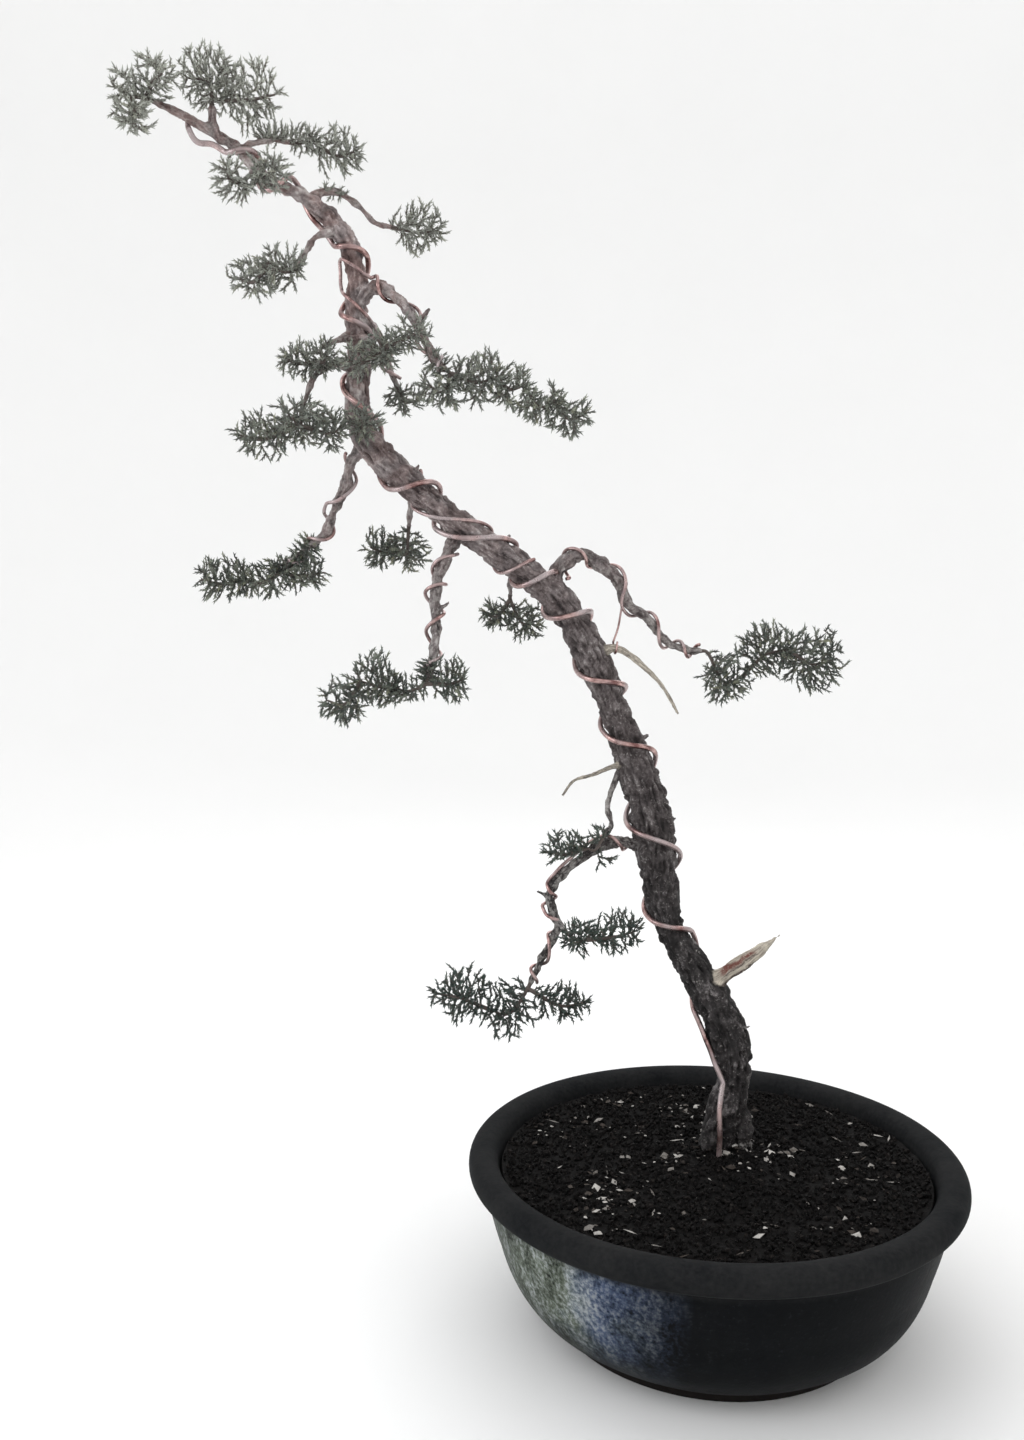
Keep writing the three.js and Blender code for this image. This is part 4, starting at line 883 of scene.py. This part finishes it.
# Soil
soil = {
    "seed": 29, "level": 82, "mound": 3, "moundReach": 45, "stemAt": (11, 14), "segments": 120, "rings": 44,
    "lumps": [(0.12, 0, 0.9), (0.4, 5, 0.5)], "underGrains": 0.6, "bedTone": 0.12,
    "field": 115.5, "edge": 116.2, "grainSize": (1.1, 2.6), "uneven": 0.12, "sink": (-0.3, 0.8), "onTop": 0.5,
    "clumps": 16, "clumpField": 100, "clumpSize": 9, "clumped": 0.8,
    "grainTones": [0.05, 0.15, 0.25, 0.4], "toneShares": [0.3, 0.35, 0.25, 0.1],
    "dark": (0.002, 0.002, 0.002), "brown": (0.009, 0.0075, 0.007), "buff": (0.06, 0.05, 0.043),
    "chip": (0.52, 0.5, 0.47),
}
soilKinds = [7500, 300, 60]  # how many dark grains, pale chips and slivers
darkGrain, paleChip = 0, 1


def soilPaint(start):
    tone, speck = stored(start, "tone"), placeOf(start).noise(600, 4, 0.7)
    colour = (tone + (speck - 0.5) * 0.35).tone(
        [(0.0, soil["dark"]), (0.4, soil["brown"]), (0.62, soil["buff"]), (1.0, soil["chip"])])
    return {"Base Color": colour, "Roughness": speck * 0.2 + 0.75, "Specular IOR Level": 0.12,
            "Normal": speck.bump(0.6, 0.0008)}


def soilHeight(x, y):
    away = np.hypot(x - soil["stemAt"][0], y - soil["stemAt"][1])
    return soil["level"] + soil["mound"] * np.exp(-(away / soil["moundReach"]) ** 2)


def soilBed():  # the body under the loose grains, with room for the drain screen
    top = np.linspace(0.5, innerRadius(80) - 1.6, soil["rings"])[::-1]
    profile = [(0.5, 18), (28, 18), (28, 16), (innerRadius(15) - 1.5, 16), (innerRadius(24) - 1.2, 24),
               (innerRadius(50) - 1.2, 50), (innerRadius(80) - 1.2, 79)] + [(r, soil["level"]) for r in top]
    verts, faces = turnedBody(profile, soil["segments"])
    lumps = sum(np.array([noise.noise((x * every, y * every, start)) * high for x, y, _ in verts.tolist()])
                for every, start, high in soil["lumps"])
    lumpy = soilHeight(verts[:, 0], verts[:, 1]) - soil["underGrains"] + lumps
    verts[:, 2] = np.where(verts[:, 2] > soil["level"] - 1, lumpy, verts[:, 2])
    return verts, faces


def grainSpot(rng, kind, clumps):
    far = soil["field"] * math.sqrt(rng.uniform())
    turn = rng.uniform(0, 2 * math.pi)
    if kind == paleChip and rng.uniform() < soil["clumped"]:  # most pale chips lie in loose clumps
        away, around = clumps[rng.integers(len(clumps))]
        return (np.array([math.cos(around), math.sin(around)]) * away
                + rng.normal(size=2) * soil["clumpSize"]).tolist()
    return far * math.cos(turn), far * math.sin(turn)


def grainBody(rng, kind):  # an uneven octahedron; pale ones lie nearly flat
    corners = np.array([(1, 0, 0), (0, 1, 0), (-1, 0, 0), (0, -1, 0), (0, 0, 1), (0, 0, -1)], float)
    size = (rng.uniform(*soil["grainSize"]), 1.1 + 3.4 * rng.uniform() ** 3, 1.1)[kind]
    shape = ((1, rng.uniform(0.6, 1), rng.uniform(0.5, 0.9)), (1, rng.uniform(0.4, 0.9), 0.35),
             (rng.uniform(3, 6), 0.7, 0.4))[kind]
    spin = rng.normal(size=(3, 3))
    if kind == darkGrain:
        turned = np.linalg.qr(spin.T)[0]
    else:
        yaw, lean = rng.uniform(0, 6.3), rng.uniform(-0.3, 0.3)
        c, s = math.cos(yaw), math.sin(yaw)
        turned = np.array([[c, -s, 0], [s, c, 0], [lean, 0, 1.0]])
    body = (corners + rng.normal(size=(6, 3)) * soil["uneven"]) * np.array(shape) * size * 0.8
    return body @ turned.T


def fillSoil():
    rng = np.random.default_rng(soil["seed"])
    parts, tones = [soilBed()], [soil["bedTone"]]
    sides = [(0, 1, 4), (1, 2, 4), (2, 3, 4), (3, 0, 4), (1, 0, 5), (2, 1, 5), (3, 2, 5), (0, 3, 5)]
    clumps = [(soil["clumpField"] * math.sqrt(rng.uniform()), rng.uniform(0, 2 * math.pi))
              for _ in range(soil["clumps"])]
    for kind in np.repeat(range(3), soilKinds):
        x, y = grainSpot(rng, kind, clumps)
        body = grainBody(rng, kind)
        lift = soilHeight(x, y) + rng.uniform(*soil["sink"]) + (0 if kind == darkGrain else soil["onTop"])
        spot = body + np.array([x, y, lift])
        if np.hypot(spot[:, 0], spot[:, 1]).max() < soil["edge"]:
            parts.append((spot, sides))
            tones.append((rng.choice(soil["grainTones"], p=soil["toneShares"]), rng.uniform(0.45, 1.0),
                          rng.uniform(0.55, 0.95))[kind])
    verts, faces, owner = gather(parts)
    meshPiece("soil_grit", verts, faces, finish("soil", soilPaint), "soil", False,
              {"tone": np.array(tones)[owner]})
    print("soil:", len(faces), "faces")


fillSoil()


def screenPaint(start):
    place = placeOf(start)
    return {"Base Color": place.noise(200, 2).pick((0.015, 0.02, 0.02), (0.03, 0.035, 0.035)),
            "Roughness": place.noise(300, 2) * 0.2 + 0.5}


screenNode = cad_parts["drain_screen"]
screenNode.data.materials.clear()
screenNode.data.materials.append(finish("screen", screenPaint))

# Floor and lights
studio = {"flat": 1.4, "curve": 1.9, "top": 2.7, "segments": 96, "bends": 17,
          "wall": [(0.84, 0.84, 0.835), (0.86, 0.86, 0.855)], "world": (0.965, 0.965, 0.97), "power": 1.28}
# For each light: place, target, size in metres, power and colour
lights = {
    "window": [(-1100, -500, 700), (-50, 0, 250), (0.7, 0.9), 5, (0.93, 0.96, 1.0)],
    "fill": [(1000, -900, 900), (-50, 0, 250), (1.0, 1.0), 2, (1, 1, 1)],
    "back": [(100, 1200, 1100), (-50, 0, 300), (1.2, 0.8), 4, (1, 1, 1)],
}


def floorPaint(start):
    return {"Base Color": placeOf(start).noise(3, 2).pick(*studio["wall"]), "Roughness": 0.85,
            "Specular IOR Level": 0.15}


def layFloor():  # it curves up into a plain wall, so that no edge shows
    flat, curve, many = studio["flat"], studio["curve"], studio["segments"]
    angles = np.linspace(0, np.pi / 2, studio["bends"])
    rise = [(flat + curve * math.sin(a), curve * (1 - math.cos(a))) for a in angles]
    verts, faces = turnedBody([(0.1, 0), *rise, (flat + curve, studio["top"])], many)
    faces = [range(many)] + [(a, d, c, b) for a, b, c, d in faces[:-many]]
    mesh = bpy.data.meshes.new("floor")
    mesh.from_pydata(verts.tolist(), [], faces)
    mesh.polygons.foreach_set("use_smooth", [True] * len(mesh.polygons))
    mesh.materials.append(finish("floor", floorPaint))
    inScene("floor", mesh)


def hangLight(name, place, target, size, power, colour):
    data = bpy.data.lights.new(name, "AREA")
    data.shape, data.energy, data.color = "RECTANGLE", power, colour
    data.size, data.size_y = size
    light = inScene(name, data)
    place, target = (potAxis + np.array(spot) * mm for spot in (place, target))
    light.location = place
    light.rotation_euler = Vector(target - place).to_track_quat("-Z", "Y").to_euler()


layFloor()
world = bpy.data.worlds.new("world")
world.use_nodes = True
background = world.node_tree.nodes["Background"]
background.inputs[0].default_value = (*studio["world"], 1)
background.inputs[1].default_value = studio["power"]
scene.world = world
scene.view_settings.view_transform = "Standard"
for name, plan in lights.items():
    hangLight(name, *plan)
